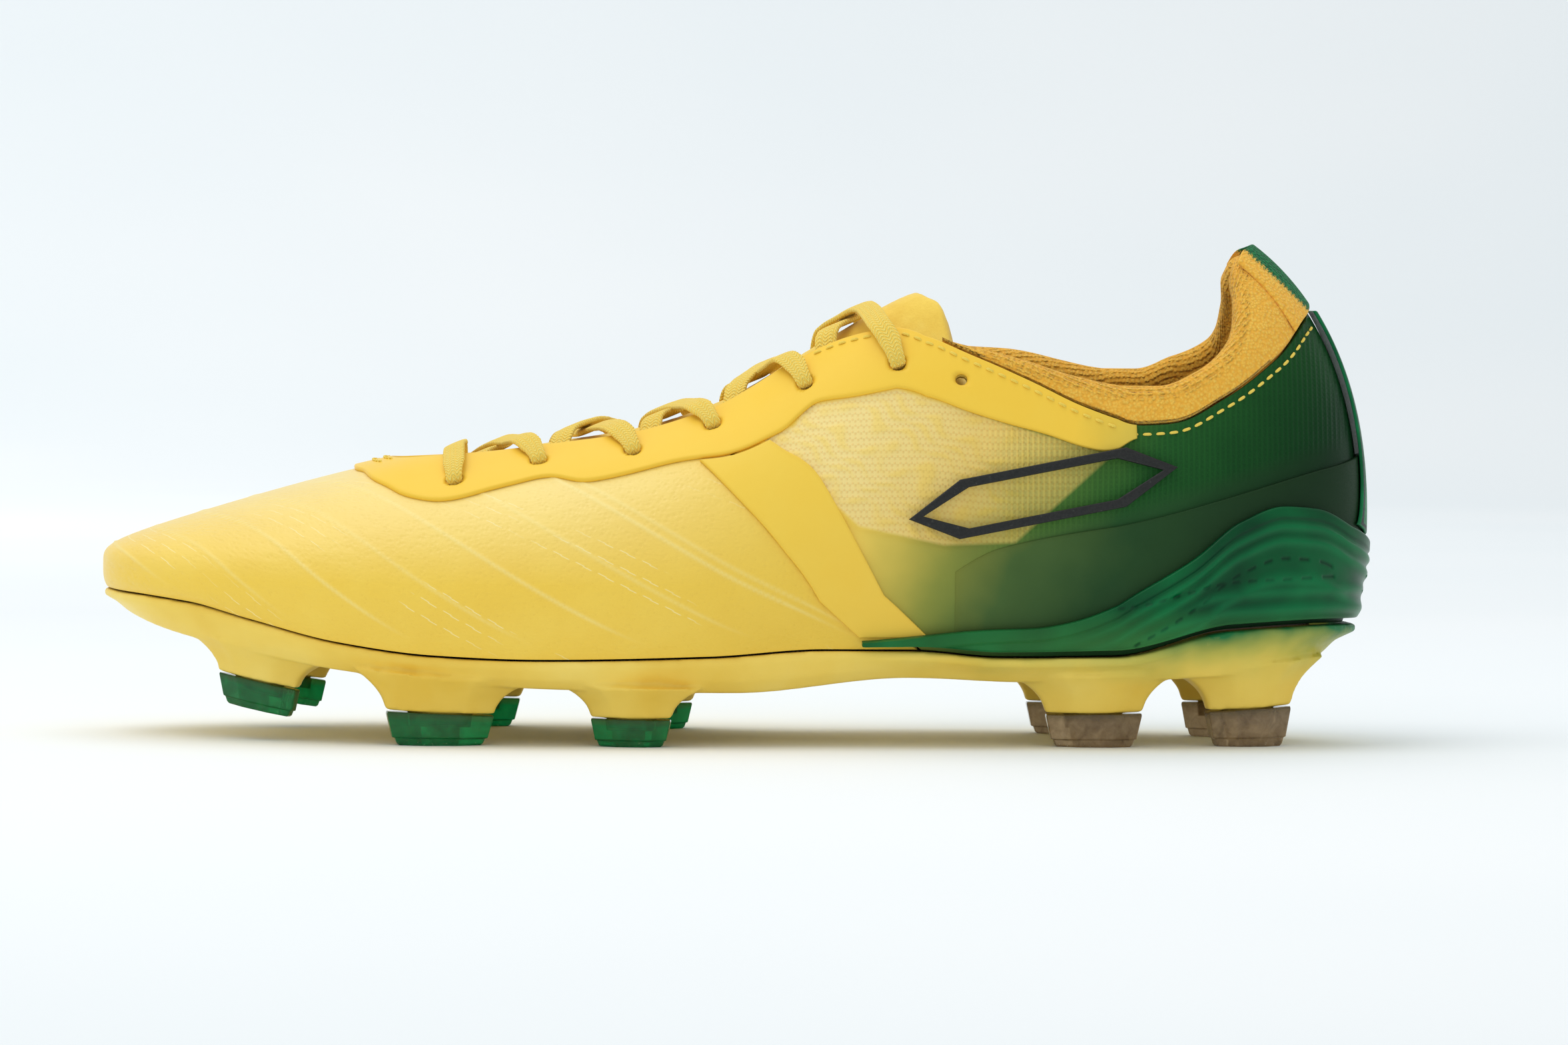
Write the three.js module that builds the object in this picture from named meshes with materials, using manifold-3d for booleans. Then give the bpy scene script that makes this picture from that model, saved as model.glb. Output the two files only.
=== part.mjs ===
// Firm-ground soccer cleat, left foot. Millimetres, toe at -X, lateral side at -Y, up +Z, studs on z = 0.
import * as THREE from "three";
import Module from "manifold-3d";

const wasm = await Module();
wasm.setup();

// Plan outline of the last
const TOE_X = -143;
const FORE_X = -45; // widest place of the forefoot
const REAR_X = 85; // widest place of the heel
const HEEL_X = 142.6;
const FORE_Y = 2; // centreline at the forefoot
const TIP_SHIFT = 5; // the toe tip leans to the medial side
const TOE_EXPONENT = 2.15;
const HEEL_EXPONENT = 2.3;
const SEAM_ANGLE = (-22 * Math.PI) / 180; // how far the upper tucks in under its widest line

// Layers, as distances from the outer face of the upper
const SHELL = [-1.6, 0];
const OVERLAY = [0.4, 1.0];
const RAISED = [1.4, 2.1];
const CUP = [1.4, 3.0];
const STIFFENER = [-3.1, -2.0];
const FACING = [-3.0, -2.4];
const LINING = [-5.6, -3.6];
const PADDING = [-6.0, 0.3];

// Sole stack
const PLATE_THICKNESS = 3;
const BOARD_THICKNESS = 1.6;
const SOCK_THICKNESS = 3.2;
const GAP = 0.3;
const SOCK_GAP = 0.7;

// Throat
const THROAT_REACH = 32; // from the widest place forward to the front of the throat
const THROAT_HALF = 18.5;
const THROAT_EXPONENT = 3;
const CORNER_Q = 1.646; // where the throat edge turns into the topline
// x of each lace hole, and its height on the lateral and medial sides
const EYELETS = [
  [-62.7, 58, 58], [-44, 62.5, 61], [-23, 65, 63], [-5, 71, 67], [15.6, 80.5, 75.5], [36, 85.3, 80.3],
];
const SPARE_EYELET = [50, 82]; // the unused top hole
const EYELET_RADIUS = 3.1;

// Lace
const LACE_WIDTH = 5;
const LACE_THICKNESS = 1.3;

// Smooth curve through a few points, flat at both ends unless told to run straight out
function curve(points, straight = false) {
  const n = points.length;
  const rise = (i) => (points[i + 1][1] - points[i][1]) / (points[i + 1][0] - points[i][0]);
  const slopes = points.map((p, i) => {
    if (i === 0) return straight ? rise(0) : 0;
    if (i === n - 1) return straight ? rise(n - 2) : 0;
    const before = rise(i - 1);
    const after = rise(i);
    return before * after <= 0 ? 0 : (2 * before * after) / (before + after);
  });
  return (x) => {
    if (x <= points[0][0]) return points[0][1] + slopes[0] * (x - points[0][0]);
    if (x >= points[n - 1][0]) return points[n - 1][1] + slopes[n - 1] * (x - points[n - 1][0]);
    let i = 0;
    while (x > points[i + 1][0]) i++;
    const h = points[i + 1][0] - points[i][0];
    const t = (x - points[i][0]) / h;
    const a = (1 + 2 * t) * (1 - t) * (1 - t) * points[i][1] + t * t * (3 - 2 * t) * points[i + 1][1];
    return a + h * t * (1 - t) * ((1 - t) * slopes[i] - t * slopes[i + 1]);
  };
}

const mix = (a, b, t) => a + (b - a) * t;

// Half outlines behind the widest place of the forefoot
const lateralY = curve([[FORE_X, -46.5], [25, -38], [REAR_X, -34]]);
const medialY = curve([[FORE_X, 45], [22, 31], [REAR_X, 33]]);

// Height of the ridge that the sections close to, by x
const crown = curve(
  [[-125, 51], [-77, 62.5], [-45, 68.5], [-23, 72], [-5, 78], [15, 90], [39, 104], [60, 108], [REAR_X, 108]],
  true,
);
const CROWN_BACK = 122;

// Station q runs 0 at the toe tip, 1 and 2 at the widest places, 3 at the heel back
const widestZ = curve([[0, 38.5], [0.5, 34.5], [1, 30], [1.5, 33], [2, 42], [3, 51]]);
const roundness = curve([[0, 3.6], [0.5, 2.6], [1, 2], [2, 2.1], [3, 2.2]]);
const seamZ = curve([
  [0, 33], [0.25, 32.4], [0.42, 31], [0.55, 27.5], [0.7, 22.8], [0.85, 20.2], [1, 19.5],
  [1.3, 20.3], [1.5, 22], [1.65, 22], [1.8, 20.6], [2, 21], [2.3, 27], [2.6, 28], [3, 27.6],
]);
const toplineZ = curve([
  [1.646, 93.5], [1.73, 91], [1.83, 88], [1.93, 84], [2.02, 82], [2.12, 82], [2.25, 85.5],
  [2.38, 92], [2.5, 101], [2.62, 108], [2.8, 111.8], [3, 112.6],
]);
const quarterTopZ = curve([
  [1.646, 92.2], [1.75, 87.5], [1.85, 82], [1.95, 76], [2.05, 72.5], [2.15, 73], [2.3, 78.5],
  [2.5, 87], [2.75, 95.5], [3, 98.5],
]);
const undersideZ = curve(
  [[-143, 30], [-128, 24.5], [-110, 20.5], [-88, 16.5], [-60, 13.8], [-42, 12.8], [0, 12], [39, 15.5],
    [65, 14.6], [100, 15.6], [125, 18], [143, 24]],
  true,
);

// Side and station of a lap position g: 0 at the toe tip, 3 at the heel back, 6 at the toe tip again
function station(g) {
  const lap = ((g % 6) + 6) % 6;
  return lap <= 3 ? { side: 1, q: lap } : { side: -1, q: 6 - lap };
}

function outlineY(side, x) {
  return side > 0 ? medialY(x) : lateralY(x);
}

function axisPoint(q) {
  const x = Math.min(Math.max(FORE_X + (q - 1) * (REAR_X - FORE_X), FORE_X), REAR_X);
  return [x, mix(FORE_Y, 0, (x - FORE_X) / (REAR_X - FORE_X))];
}

function radius(c, s, n) {
  return Math.pow(Math.pow(Math.abs(c), n) + Math.pow(Math.abs(s), n), -1 / n);
}

// Widest line of the upper in plan
function outlinePoint(side, q) {
  const [ax, ay] = axisPoint(q);
  if (q >= 1 && q <= 2) return [ax, outlineY(side, ax)];
  const turn = (q < 1 ? q : 3 - q) * (Math.PI / 2);
  const c = Math.cos(turn);
  const s = Math.sin(turn);
  const r = radius(c, s, q < 1 ? TOE_EXPONENT : HEEL_EXPONENT);
  const reach = q < 1 ? TOE_X - FORE_X : HEEL_X - REAR_X;
  const half = outlineY(side, ax) - ay;
  const lean = q < 1 ? TIP_SHIFT * c * c : 0;
  return [ax + reach * r * c, ay + half * r * s + lean];
}

// Share of the way from the axis to the widest line, and height, at a section angle
function sectionPoint(g, angle) {
  const { side, q } = station(g);
  const [ax, ay] = axisPoint(q);
  const [px, py] = outlinePoint(side, q);
  const n = roundness(q);
  const r = radius(Math.cos(angle), Math.sin(angle), n);
  const share = r * Math.cos(angle);
  const x = mix(ax, px, share);
  const y = mix(ay, py, share);
  const mid = widestZ(q);
  const back = q > 2 ? Math.sin((q - 2) * (Math.PI / 2)) ** 2 : 0;
  const top = mix(crown(Math.min(x, REAR_X)), CROWN_BACK, back);
  const foot = radius(Math.cos(SEAM_ANGLE), Math.sin(SEAM_ANGLE), n) * Math.sin(-SEAM_ANGLE);
  const lift = angle >= 0 ? top - mid : (mid - seamZ(q)) / foot;
  return new THREE.Vector3(x, y, mid + lift * r * Math.sin(angle));
}

// Point on the last, moved out by a distance
function onLast(g, angle, out = 0) {
  const p = sectionPoint(g, angle);
  if (out === 0) return p;
  const e = 1e-3;
  const du = sectionPoint(g + e, angle).sub(sectionPoint(g - e, angle));
  const dv = sectionPoint(g, angle + e).sub(sectionPoint(g, angle - e));
  return p.addScaledVector(du.cross(dv).normalize(), -out);
}

// Section angle where a growing measure of the section reaches a value
function angleWhere(value, measure) {
  let low = SEAM_ANGLE;
  let high = Math.PI / 2;
  for (let i = 0; i < 40; i++) {
    const mid = (low + high) / 2;
    if (measure(mid) < value) low = mid;
    else high = mid;
  }
  return (low + high) / 2;
}

const angleAtHeight = (g, z) => angleWhere(z, (angle) => sectionPoint(g, angle).z);

function angleAtShare(g, share) {
  const n = roundness(station(g).q);
  return angleWhere(-share, (a) => -radius(Math.cos(a), Math.sin(a), n) * Math.cos(a));
}

// Half width of the throat, by x, behind the widest place
const throatHalf = curve([[FORE_X, THROAT_HALF], [-5, 16.5], [15, 14.5], [39, 20]]);

// Share of the half width at which the throat edge runs
function throatShare(side, q) {
  const [ax, ay] = axisPoint(q);
  if (q >= 1) return throatHalf(ax) / Math.abs(outlineY(side, ax) - ay);
  const turn = q * (Math.PI / 2);
  const along = (FORE_X - TOE_X) / THROAT_REACH;
  const across = Math.abs(outlineY(side, ax) - ay) / THROAT_HALF;
  const c = along * Math.cos(turn);
  const s = across * Math.sin(turn);
  const r = radius(Math.cos(turn), Math.sin(turn), TOE_EXPONENT);
  return radius(c, s, THROAT_EXPONENT) / r;
}

// Section angle a distance down the surface from another
function angleBelow(g, from, distance) {
  const STEP = 0.02;
  let angle = from;
  let left = distance;
  let here = sectionPoint(g, angle);
  while (angle > SEAM_ANGLE) {
    const next = sectionPoint(g, angle - STEP);
    const length = next.distanceTo(here);
    if (length >= left) return angle - (STEP * left) / length;
    left -= length;
    angle -= STEP;
    here = next;
  }
  return angle;
}

// Upper edge of the shell: the throat, then the line under the knit collar
function edgeAngle(g, inset = 0) {
  const { side, q } = station(g);
  const edge = q <= CORNER_Q ? angleAtShare(g, throatShare(side, q)) : angleAtHeight(g, quarterTopZ(q));
  return angleBelow(g, edge, inset);
}

// Lap position and section angle over a point of the plan
function overPlan(x, y) {
  const clampedX = Math.min(Math.max(x, FORE_X), REAR_X);
  const centre = mix(FORE_Y, 0, (clampedX - FORE_X) / (REAR_X - FORE_X));
  const side = y >= centre ? 1 : -1;
  let q = 1 + (clampedX - FORE_X) / (REAR_X - FORE_X);
  if (x < FORE_X) {
    let low = 0;
    let high = 1;
    for (let i = 0; i < 40; i++) {
      q = (low + high) / 2;
      const [px, py] = outlinePoint(side, q);
      const turned = (px - FORE_X) * (y - FORE_Y) - (py - FORE_Y) * (x - FORE_X);
      if (turned * side < 0) low = q;
      else high = q;
    }
  }
  const [ax, ay] = axisPoint(q);
  const [px, py] = outlinePoint(side, q);
  const share = Math.hypot(x - ax, y - ay) / Math.hypot(px - ax, py - ay);
  const g = side > 0 ? q : 6 - q;
  return [g, angleAtShare(g, share)];
}

// Lap position and section angle on one side at an x and a height
function onSide(side, x, z) {
  let low = 0;
  let high = 3;
  const lap = (q) => (side > 0 ? q : 6 - q);
  for (let i = 0; i < 40; i++) {
    const q = (low + high) / 2;
    if (sectionPoint(lap(q), angleAtHeight(lap(q), z)).x < x) low = q;
    else high = q;
  }
  return [lap(low), angleAtHeight(lap(low), z)];
}

// Closed solid from rows of points: each row a closed ring, the ends capped or joined
function solidFromRings(rings, joined = false) {
  const count = rings[0].length;
  const positions = rings.flat().flatMap((p) => [p.x, p.y, p.z]);
  const index = [];
  const last = joined ? rings.length : rings.length - 1;
  for (let i = 0; i < last; i++) {
    const next = (i + 1) % rings.length;
    for (let j = 0; j < count; j++) {
      const k = (j + 1) % count;
      const [a, b, c, d] = [i * count + j, i * count + k, next * count + k, next * count + j];
      index.push(a, b, c, a, c, d);
    }
  }
  if (!joined) {
    index.push(...capTriangles(rings[0], 0).reverse());
    index.push(...capTriangles(rings[rings.length - 1], (rings.length - 1) * count));
  }
  return solidFromTriangles(positions, index);
}

// A ring made of two facing rows is closed strip by strip between them
function capTriangles(ring, start) {
  const n = ring.length;
  const out = [];
  for (let j = 0; j < n / 2 - 1; j++) {
    const [a, b, c, d] = [start + j, start + j + 1, start + n - 2 - j, start + n - 1 - j];
    out.push(a, b, c, a, c, d);
  }
  return out;
}

function solidFromTriangles(positions, index) {
  const mesh = new wasm.Mesh({
    numProp: 3,
    vertProperties: new Float32Array(positions),
    triVerts: new Uint32Array(index),
  });
  mesh.merge();
  const made = new wasm.Manifold(mesh);
  if (made.volume() >= 0) return made;
  const flipped = [];
  for (let i = 0; i < index.length; i += 3) flipped.push(index[i], index[i + 2], index[i + 1]);
  const turned = new wasm.Mesh({
    numProp: 3,
    vertProperties: new Float32Array(positions),
    triVerts: new Uint32Array(flipped),
  });
  turned.merge();
  return new wasm.Manifold(turned);
}

// Patch of the upper between two layers: place(a, b) gives lap position and angle for a and b in 0..1
function patch(place, layer, across, up, round = false) {
  const rings = [];
  const last = round ? across - 1 : across;
  for (let i = 0; i <= last; i++) {
    const ring = [];
    for (let j = 0; j <= up; j++) ring.push(onLast(...place(i / across, j / up), layer[1]));
    for (let j = up; j >= 0; j--) ring.push(onLast(...place(i / across, j / up), layer[0]));
    rings.push(ring);
  }
  return solidFromRings(rings, round);
}

function part(name, solid, look) {
  const mesh = solid.getMesh();
  const geometry = new THREE.BufferGeometry();
  const points = [];
  for (let i = 0; i < mesh.numVert; i++) {
    points.push(...mesh.vertProperties.subarray(i * mesh.numProp, i * mesh.numProp + 3));
  }
  geometry.setAttribute("position", new THREE.Float32BufferAttribute(points, 3));
  geometry.setIndex([...mesh.triVerts]);
  geometry.computeVertexNormals();
  const [color, roughness] = look;
  const made = new THREE.Mesh(geometry, new THREE.MeshStandardMaterial({ color, roughness, metalness: 0 }));
  made.name = name;
  return made;
}

const YELLOW = ["#f0c83c", 0.55];
const FILM = ["#f8d45a", 0.35];
const OLIVE = ["#5f8a32", 0.5];
const DARK_GREEN = ["#0d4a2c", 0.6];
const TPU_GREEN = ["#0b7a4b", 0.4];
const KNIT = ["#e9a93a", 0.95];
const STUD_GREEN = ["#0c8a52", 0.2];
const STUD_SMOKE = ["#7a6a58", 0.2];
const LACE = ["#f3c838", 0.8];
const BLACK = ["#101010", 0.5];
const BOARD = ["#d9d2c0", 0.9];
const FOAM = ["#3a3f3c", 0.95];

// ---- upper ----

// Where the vamp meets the quarter, from the seam (b = 0) to the edge (b = 1)
const vampEnd = (b) => mix(1.66, 1.22, b);

function vamp() {
  const place = (a, b) => {
    const end = vampEnd(b) - 0.002;
    const g = mix(-end, end, a);
    return [g, mix(SEAM_ANGLE, edgeAngle(g), b)];
  };
  return patch(place, SHELL, 38, 8);
}

function quarter(side) {
  const place = (a, b) => {
    const q = mix(vampEnd(b) + 0.004, 2.996, a);
    const g = side > 0 ? q : 6 - q;
    return [g, mix(SEAM_ANGLE, edgeAngle(g), b)];
  };
  return patch(place, SHELL, 26, 10);
}

// Width of the eyestay below the throat or collar edge, by station
const eyestayDepth = curve([
  [0, 9], [0.39, 9.7], [0.66, 18], [0.75, 22], [0.81, 22.8], [0.93, 17.3], [1.03, 14.7], [1.08, 18], [1.23, 16],
  [1.38, 20], [1.44, 20.3], [1.47, 16.5], [1.54, 17.6], [1.62, 16.2], [1.72, 14.4], [1.81, 12.6], [1.89, 10.3],
  [1.98, 8.5], [2.05, 3],
]);

function eyestay() {
  const END = 2.05;
  const place = (a, b) => {
    const g = mix(-END, END, a);
    const depth = eyestayDepth(Math.abs(g));
    return [g, mix(edgeAngle(g, depth), edgeAngle(g, 0.2), b)];
  };
  return patch(place, OVERLAY, 96, 4);
}

// Smooth strip over the joint of vamp and quarter, from above the sole to below the eyestay
function band(side) {
  const place = (a, b) => {
    const q = vampEnd(mix(0.1, 0.72, b)) + mix(-0.06, 0.06, a);
    const g = side > 0 ? q : 6 - q;
    const low = angleAtHeight(g, seamZ(q) + 3);
    return [g, mix(low, edgeAngle(g, eyestayDepth(q) + 0.8), b)];
  };
  return patch(place, OVERLAY, 3, 8);
}

const filmTopZ = curve([[1.62, 34], [1.8, 45], [2.1, 52], [2.6, 63], [3, 66]]);

function quarterFilm(side) {
  const place = (a, b) => {
    const q = mix(1.72, 2.93, a);
    const g = side > 0 ? q : 6 - q;
    return [g, mix(angleAtHeight(g, seamZ(q) + 1.2), angleAtHeight(g, filmTopZ(q)), b)];
  };
  return patch(place, OVERLAY, 18, 6);
}

const cupTopZ = curve([
  [1.52, 24.5], [1.77, 27], [1.86, 27.5], [1.92, 28.8], [2.06, 36], [2.18, 42.6], [2.3, 51],
  [2.42, 54.5], [2.52, 54], [2.7, 49.6], [3, 46],
]);

function heelCup() {
  const place = (a, b) => {
    const g = mix(1.56, 4.44, a);
    const { q } = station(g);
    return [g, mix(angleAtHeight(g, seamZ(q) + 1.8), angleAtHeight(g, cupTopZ(q)), b)];
  };
  return patch(place, CUP, 42, 4);
}

function backstay() {
  const place = (a, b) => {
    const g = 3 + mix(-0.13, 0.13, a);
    return [g, angleAtHeight(g, mix(47.6, 97.5, b))];
  };
  return patch(place, RAISED, 4, 10);
}

// How much higher the topline runs on the medial side, by station
const medialRise = curve([[1.72, 0], [1.92, 3.5], [2.2, 3.5], [2.45, 0]]);

function collar() {
  const START = 1.7;
  const place = (a, b) => {
    const g = mix(START, 6 - START, a);
    const { q } = station(g);
    const top = toplineZ(q) + (g < 3 ? medialRise(q) : 0);
    return [g, angleAtHeight(g, mix(quarterTopZ(q) + 0.4, top, b))];
  };
  return patch(place, PADDING, 38, 3);
}

function heelTab() {
  const place = (a, b) => {
    const g = 3 + mix(-0.36, 0.36, a);
    const { q } = station(g);
    return [g, angleAtHeight(g, mix(quarterTopZ(q) + 0.8, toplineZ(q) - 0.2, b))];
  };
  return patch(place, [0.7, 1.5], 10, 3);
}

function lining() {
  const START = 1.78;
  const place = (a, b) => {
    const g = mix(START, 6 - START, a);
    const { q } = station(g);
    return [g, angleAtHeight(g, mix(30, quarterTopZ(q) - 0.8, b))];
  };
  return patch(place, LINING, 32, 4);
}

function heelCounter() {
  const place = (a, b) => {
    const g = mix(2.1, 3.9, a);
    return [g, angleAtHeight(g, mix(31, 64, b))];
  };
  return patch(place, STIFFENER, 22, 4);
}

function toePuff() {
  const place = (a, b) => {
    const g = mix(-0.55, 0.55, a);
    return [g, mix(SEAM_ANGLE + 0.02, 1.0, b)];
  };
  return patch(place, STIFFENER, 14, 5);
}

const facingDepth = curve([[0.6, 19], [0.85, 19.5], [1, 14], [1.3, 13.5], [1.47, 16], [1.54, 16]]);

function facing(side) {
  const place = (a, b) => {
    const q = mix(0.6, 1.54, a);
    const g = side > 0 ? q : 6 - q;
    return [g, mix(edgeAngle(g, facingDepth(q)), edgeAngle(g, 2.8), b)];
  };
  return patch(place, FACING, 36, 2);
}

// Raised six-sided outline on the quarter
function sideMark(side) {
  const CENTRE = [68, 57];
  const HALF_LENGTH = 30;
  const HALF_HEIGHT = 6.5;
  const BORDER = 2;
  const STEPS = 6;
  const corners = [[-1, 0], [-0.62, -1], [0.62, -1], [1, 0], [0.62, 1], [-0.62, 1]];
  const rings = [];
  for (let i = 0; i < corners.length * STEPS; i++) {
    const from = corners[Math.floor(i / STEPS)];
    const to = corners[(Math.floor(i / STEPS) + 1) % corners.length];
    const t = (i % STEPS) / STEPS;
    const u = mix(from[0], to[0], t);
    const v = mix(from[1], to[1], t);
    const at = (inset, out) => {
      const along = u * (HALF_LENGTH - 1.6 * inset);
      const up = v * (HALF_HEIGHT - inset) + 0.2 * along;
      return onLast(...onSide(side, CENTRE[0] + along, CENTRE[1] + up), out);
    };
    rings.push([at(0, RAISED[0]), at(0, RAISED[1]), at(BORDER, RAISED[1]), at(BORDER, RAISED[0])]);
  }
  return solidFromRings(rings, true);
}

// ---- tongue ----

const TONGUE_START = -84;
const TONGUE_NOSE = -60; // ahead of this the tongue lies flat under the vamp
const TONGUE_END = 40;
const TONGUE_TUCK = [10.5, 6.5, 2.5]; // how far its side points run under the throat edge
const tongueDepth = curve([[-84, 5.2], [-72, 7.5], [-56, 7], [-20, 6.8], [15, 6.8], [34, 7.6]]);
const tongueBulge = curve([[-84, 0], [-76, 0.6], [-66, 2.4], [-45, 4.8], [15, 5.2], [40, 5.2]]);
const tongueThick = curve([[-84, 1.6], [-72, 2.4], [-20, 3.4], [20, 6], [36, 6], [40, 3]]);

// Half gap of the throat at an x, ahead of the widest place too
function throatAt(x) {
  if (x >= FORE_X) return throatHalf(x);
  return THROAT_HALF * Math.cbrt(Math.max(0, 1 - ((FORE_X - x) / THROAT_REACH) ** 3));
}

function centreY(x) {
  return mix(FORE_Y, 0, (Math.max(x, FORE_X) - FORE_X) / (REAR_X - FORE_X));
}

const overSurface = (x, y, out) => onLast(...overPlan(x, y), out);

// Point under the throat edge, a distance down the side of the upper
function underEdge(x, side, distance, out) {
  const [g] = overPlan(x, centreY(x) + side * Math.max(throatAt(x), 4));
  return onLast(g, edgeAngle(g, distance), out);
}

function tongueRow(x, extra) {
  const swept = (t) => x + 13 * t * t * Math.max(0, (x - 5) / 35) ** 2;
  const row = [];
  const out = (t) => -tongueDepth(swept(t)) - extra;
  for (const side of [-1, 1]) {
    const half = Math.max(throatAt(x), 6);
    const sides = TONGUE_TUCK.map((tuck, i) => {
      const t = 1 - 0.15 * i;
      if (x < TONGUE_NOSE) return overSurface(x, centreY(x) + side * (half + tuck * 0.9), out(t));
      return underEdge(swept(t), side, tuck, out(t));
    });
    const inner = [0.6, 0.3].map((t) => {
      const p = overSurface(swept(t), centreY(x) + side * half * t, out(t));
      p.z += tongueBulge(x) * (1 - t * t);
      return p;
    });
    row.push(side < 0 ? [...sides, ...inner] : [...sides, ...inner].reverse());
  }
  const top = overSurface(x, centreY(x) + 0.01, out(0));
  top.z += tongueBulge(x);
  return [...row[0], top, ...row[1]];
}

function tongue() {
  const ALONG = 26;
  const rings = [];
  for (let i = 0; i <= ALONG; i++) {
    const x = mix(TONGUE_START, TONGUE_END, i / ALONG);
    rings.push([...tongueRow(x, 0), ...tongueRow(x, tongueThick(x)).reverse()]);
  }
  return solidFromRings(rings);
}

// ---- lace ----

// Lap position and section angle of the eyelet at row k
function eyelet(side, k) {
  const [x, lateral, medial] = EYELETS[k];
  return onSide(side, x, side > 0 ? medial : lateral);
}

const RUN_OUT = OVERLAY[1] + 0.5 + LACE_THICKNESS / 2; // over the eyestay
const RUN_IN = FACING[0] - 0.95 - LACE_THICKNESS / 2; // under the facing

function tongueTop(x) {
  return overSurface(x, centreY(x) + 0.01, -tongueDepth(x)).z + tongueBulge(x);
}

// From the hole at row k on one side, under its edge, over the tongue and down the next hole opposite
function crossing(side, k, over) {
  const from = EYELETS[k][0];
  const to = EYELETS[k + 1][0];
  const along = (t) => mix(from, to, t);
  const half = (t) => throatAt(along(t));
  const lift = LACE_THICKNESS / 2 + 0.5;
  const onTongue = (t, share, extra) => {
    const x = along(t);
    return new THREE.Vector3(x, centreY(x) + side * half(t) * share, tongueTop(x) + lift + extra);
  };
  return [
    onLast(...eyelet(side, k), RUN_IN),
    underEdge(along(0.12), side, 2, RUN_IN - 0.1),
    onTongue(0.26, 0.55, 0.2),
    onTongue(0.5, 0, over ? LACE_THICKNESS + 0.5 : 0),
    onTongue(0.66, -0.5, over ? LACE_THICKNESS : 0.9),
    overEdge(along(0.84), -side, k + 1, 0.05, RUN_OUT + 0.7),
    overEdge(along(0.93), -side, k + 1, 0.5, RUN_OUT + 0.4),
    onLast(...eyelet(-side, k + 1), RUN_OUT - 0.7),
    onLast(...eyelet(-side, k + 1), -1.2),
  ];
}

// Point over the upper at an x, a share of the way from the throat edge out to the eyelet at row k
function overEdge(x, side, k, share, out) {
  const edge = centreY(x) + side * throatAt(x);
  return overSurface(x, mix(edge, onLast(...eyelet(side, k)).y, share), out);
}

// One run of the lace from the middle of the first bar to an end tucked in beside the tongue
function laceRun(side) {
  const x = EYELETS[0][0];
  const points = [
    ...[0, 0.35, 0.7].map((share) => overEdge(x, side, 0, share, RUN_OUT + 0.3)),
    onLast(...eyelet(side, 0), RUN_OUT - 0.7),
    onLast(...eyelet(side, 0), -1.2),
  ];
  let at = side;
  for (let k = 0; k < EYELETS.length - 1; k++) {
    points.push(...crossing(at, k, side > 0));
    at = -at;
  }
  const last = EYELETS.length - 1;
  points.push(onLast(...eyelet(at, last), RUN_IN));
  points.push(underEdge(EYELETS[last][0] - 7, at, 5.5, RUN_IN - 0.4));
  points.push(underEdge(EYELETS[last][0] - 13, at, 5.5, RUN_IN - 0.4));
  return points;
}

function lacePath() {
  const x = EYELETS[0][0];
  const middle = new THREE.Vector3(x, centreY(x), underEdge(x, 1, 1, RUN_OUT).z + 1.2);
  const points = [...laceRun(-1).reverse(), middle, ...laceRun(1)];
  return new THREE.CatmullRomCurve3(points, false, "centripetal");
}

function lace() {
  const STEPS = 250;
  const path = lacePath();
  const along = new THREE.Vector3(1, 0, 0.42).normalize();
  const mouths = [];
  for (const side of [-1, 1]) EYELETS.forEach((_, k) => mouths.push(onLast(...eyelet(side, k), -0.6)));
  const rings = [];
  for (let i = 0; i <= STEPS; i++) {
    const centre = path.getPoint(i / STEPS);
    const tangent = path.getTangent(i / STEPS);
    const near = Math.min(...mouths.map((m) => m.distanceTo(centre)));
    const squeeze = mix(0.68, 1, Math.min(1, near / 6) ** 2);
    const wide = along.clone().addScaledVector(tangent, -along.dot(tangent)).normalize();
    const thick = new THREE.Vector3().crossVectors(tangent, wide).normalize();
    const corner = (a, b) =>
      centre
        .clone()
        .addScaledVector(wide, (a * squeeze * LACE_WIDTH) / 2)
        .addScaledVector(thick, (b * LACE_THICKNESS) / 2);
    rings.push([corner(-1, -1), corner(1, -1), corner(1, 1), corner(-1, 1)]);
  }
  return solidFromRings(rings);
}

// ---- eyelet holes ----

function hole(g, angle) {
  const start = onLast(g, angle, -4);
  const end = onLast(g, angle, 3);
  const axis = end.clone().sub(start).normalize();
  const aside = new THREE.Vector3(1, 0, 0).cross(axis).normalize();
  const other = new THREE.Vector3().crossVectors(axis, aside);
  const SIDES = 8;
  const ringAt = (centre) =>
    Array.from({ length: SIDES }, (_, i) => {
      const turn = (i / SIDES) * 2 * Math.PI;
      return centre
        .clone()
        .addScaledVector(aside, EYELET_RADIUS * Math.cos(turn))
        .addScaledVector(other, EYELET_RADIUS * Math.sin(turn));
    });
  return solidFromRings([ringAt(start), ringAt(end)]);
}

function holes(side) {
  const made = EYELETS.map((_, k) => hole(...eyelet(side, k)));
  made.push(hole(...onSide(side, ...SPARE_EYELET)));
  return wasm.Manifold.union(made);
}

// ---- sole ----

// Solid of revolution-like rings over the plan: profile(g) lists [distance in from the seam, height]
function soleSolid(profile) {
  const STATIONS = 60;
  const rings = [];
  for (let i = 0; i < STATIONS; i++) {
    const g = (i / STATIONS) * 6;
    rings.push(profile(g));
  }
  return solidFromRings(rings, true);
}

function seamPlan(g, inset) {
  const { q } = station(g);
  const [ax, ay] = axisPoint(q);
  const p = sectionPoint(g, SEAM_ANGLE);
  const reach = Math.hypot(p.x - ax, p.y - ay);
  const t = (reach - inset) / reach;
  return [mix(ax, p.x, t), mix(ay, p.y, t)];
}

const at = ([x, y], z) => new THREE.Vector3(x, y, z);
const rimOut = curve([[0, 0.6], [1.5, 0.6], [1.75, 3], [3, 3]]);

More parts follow.
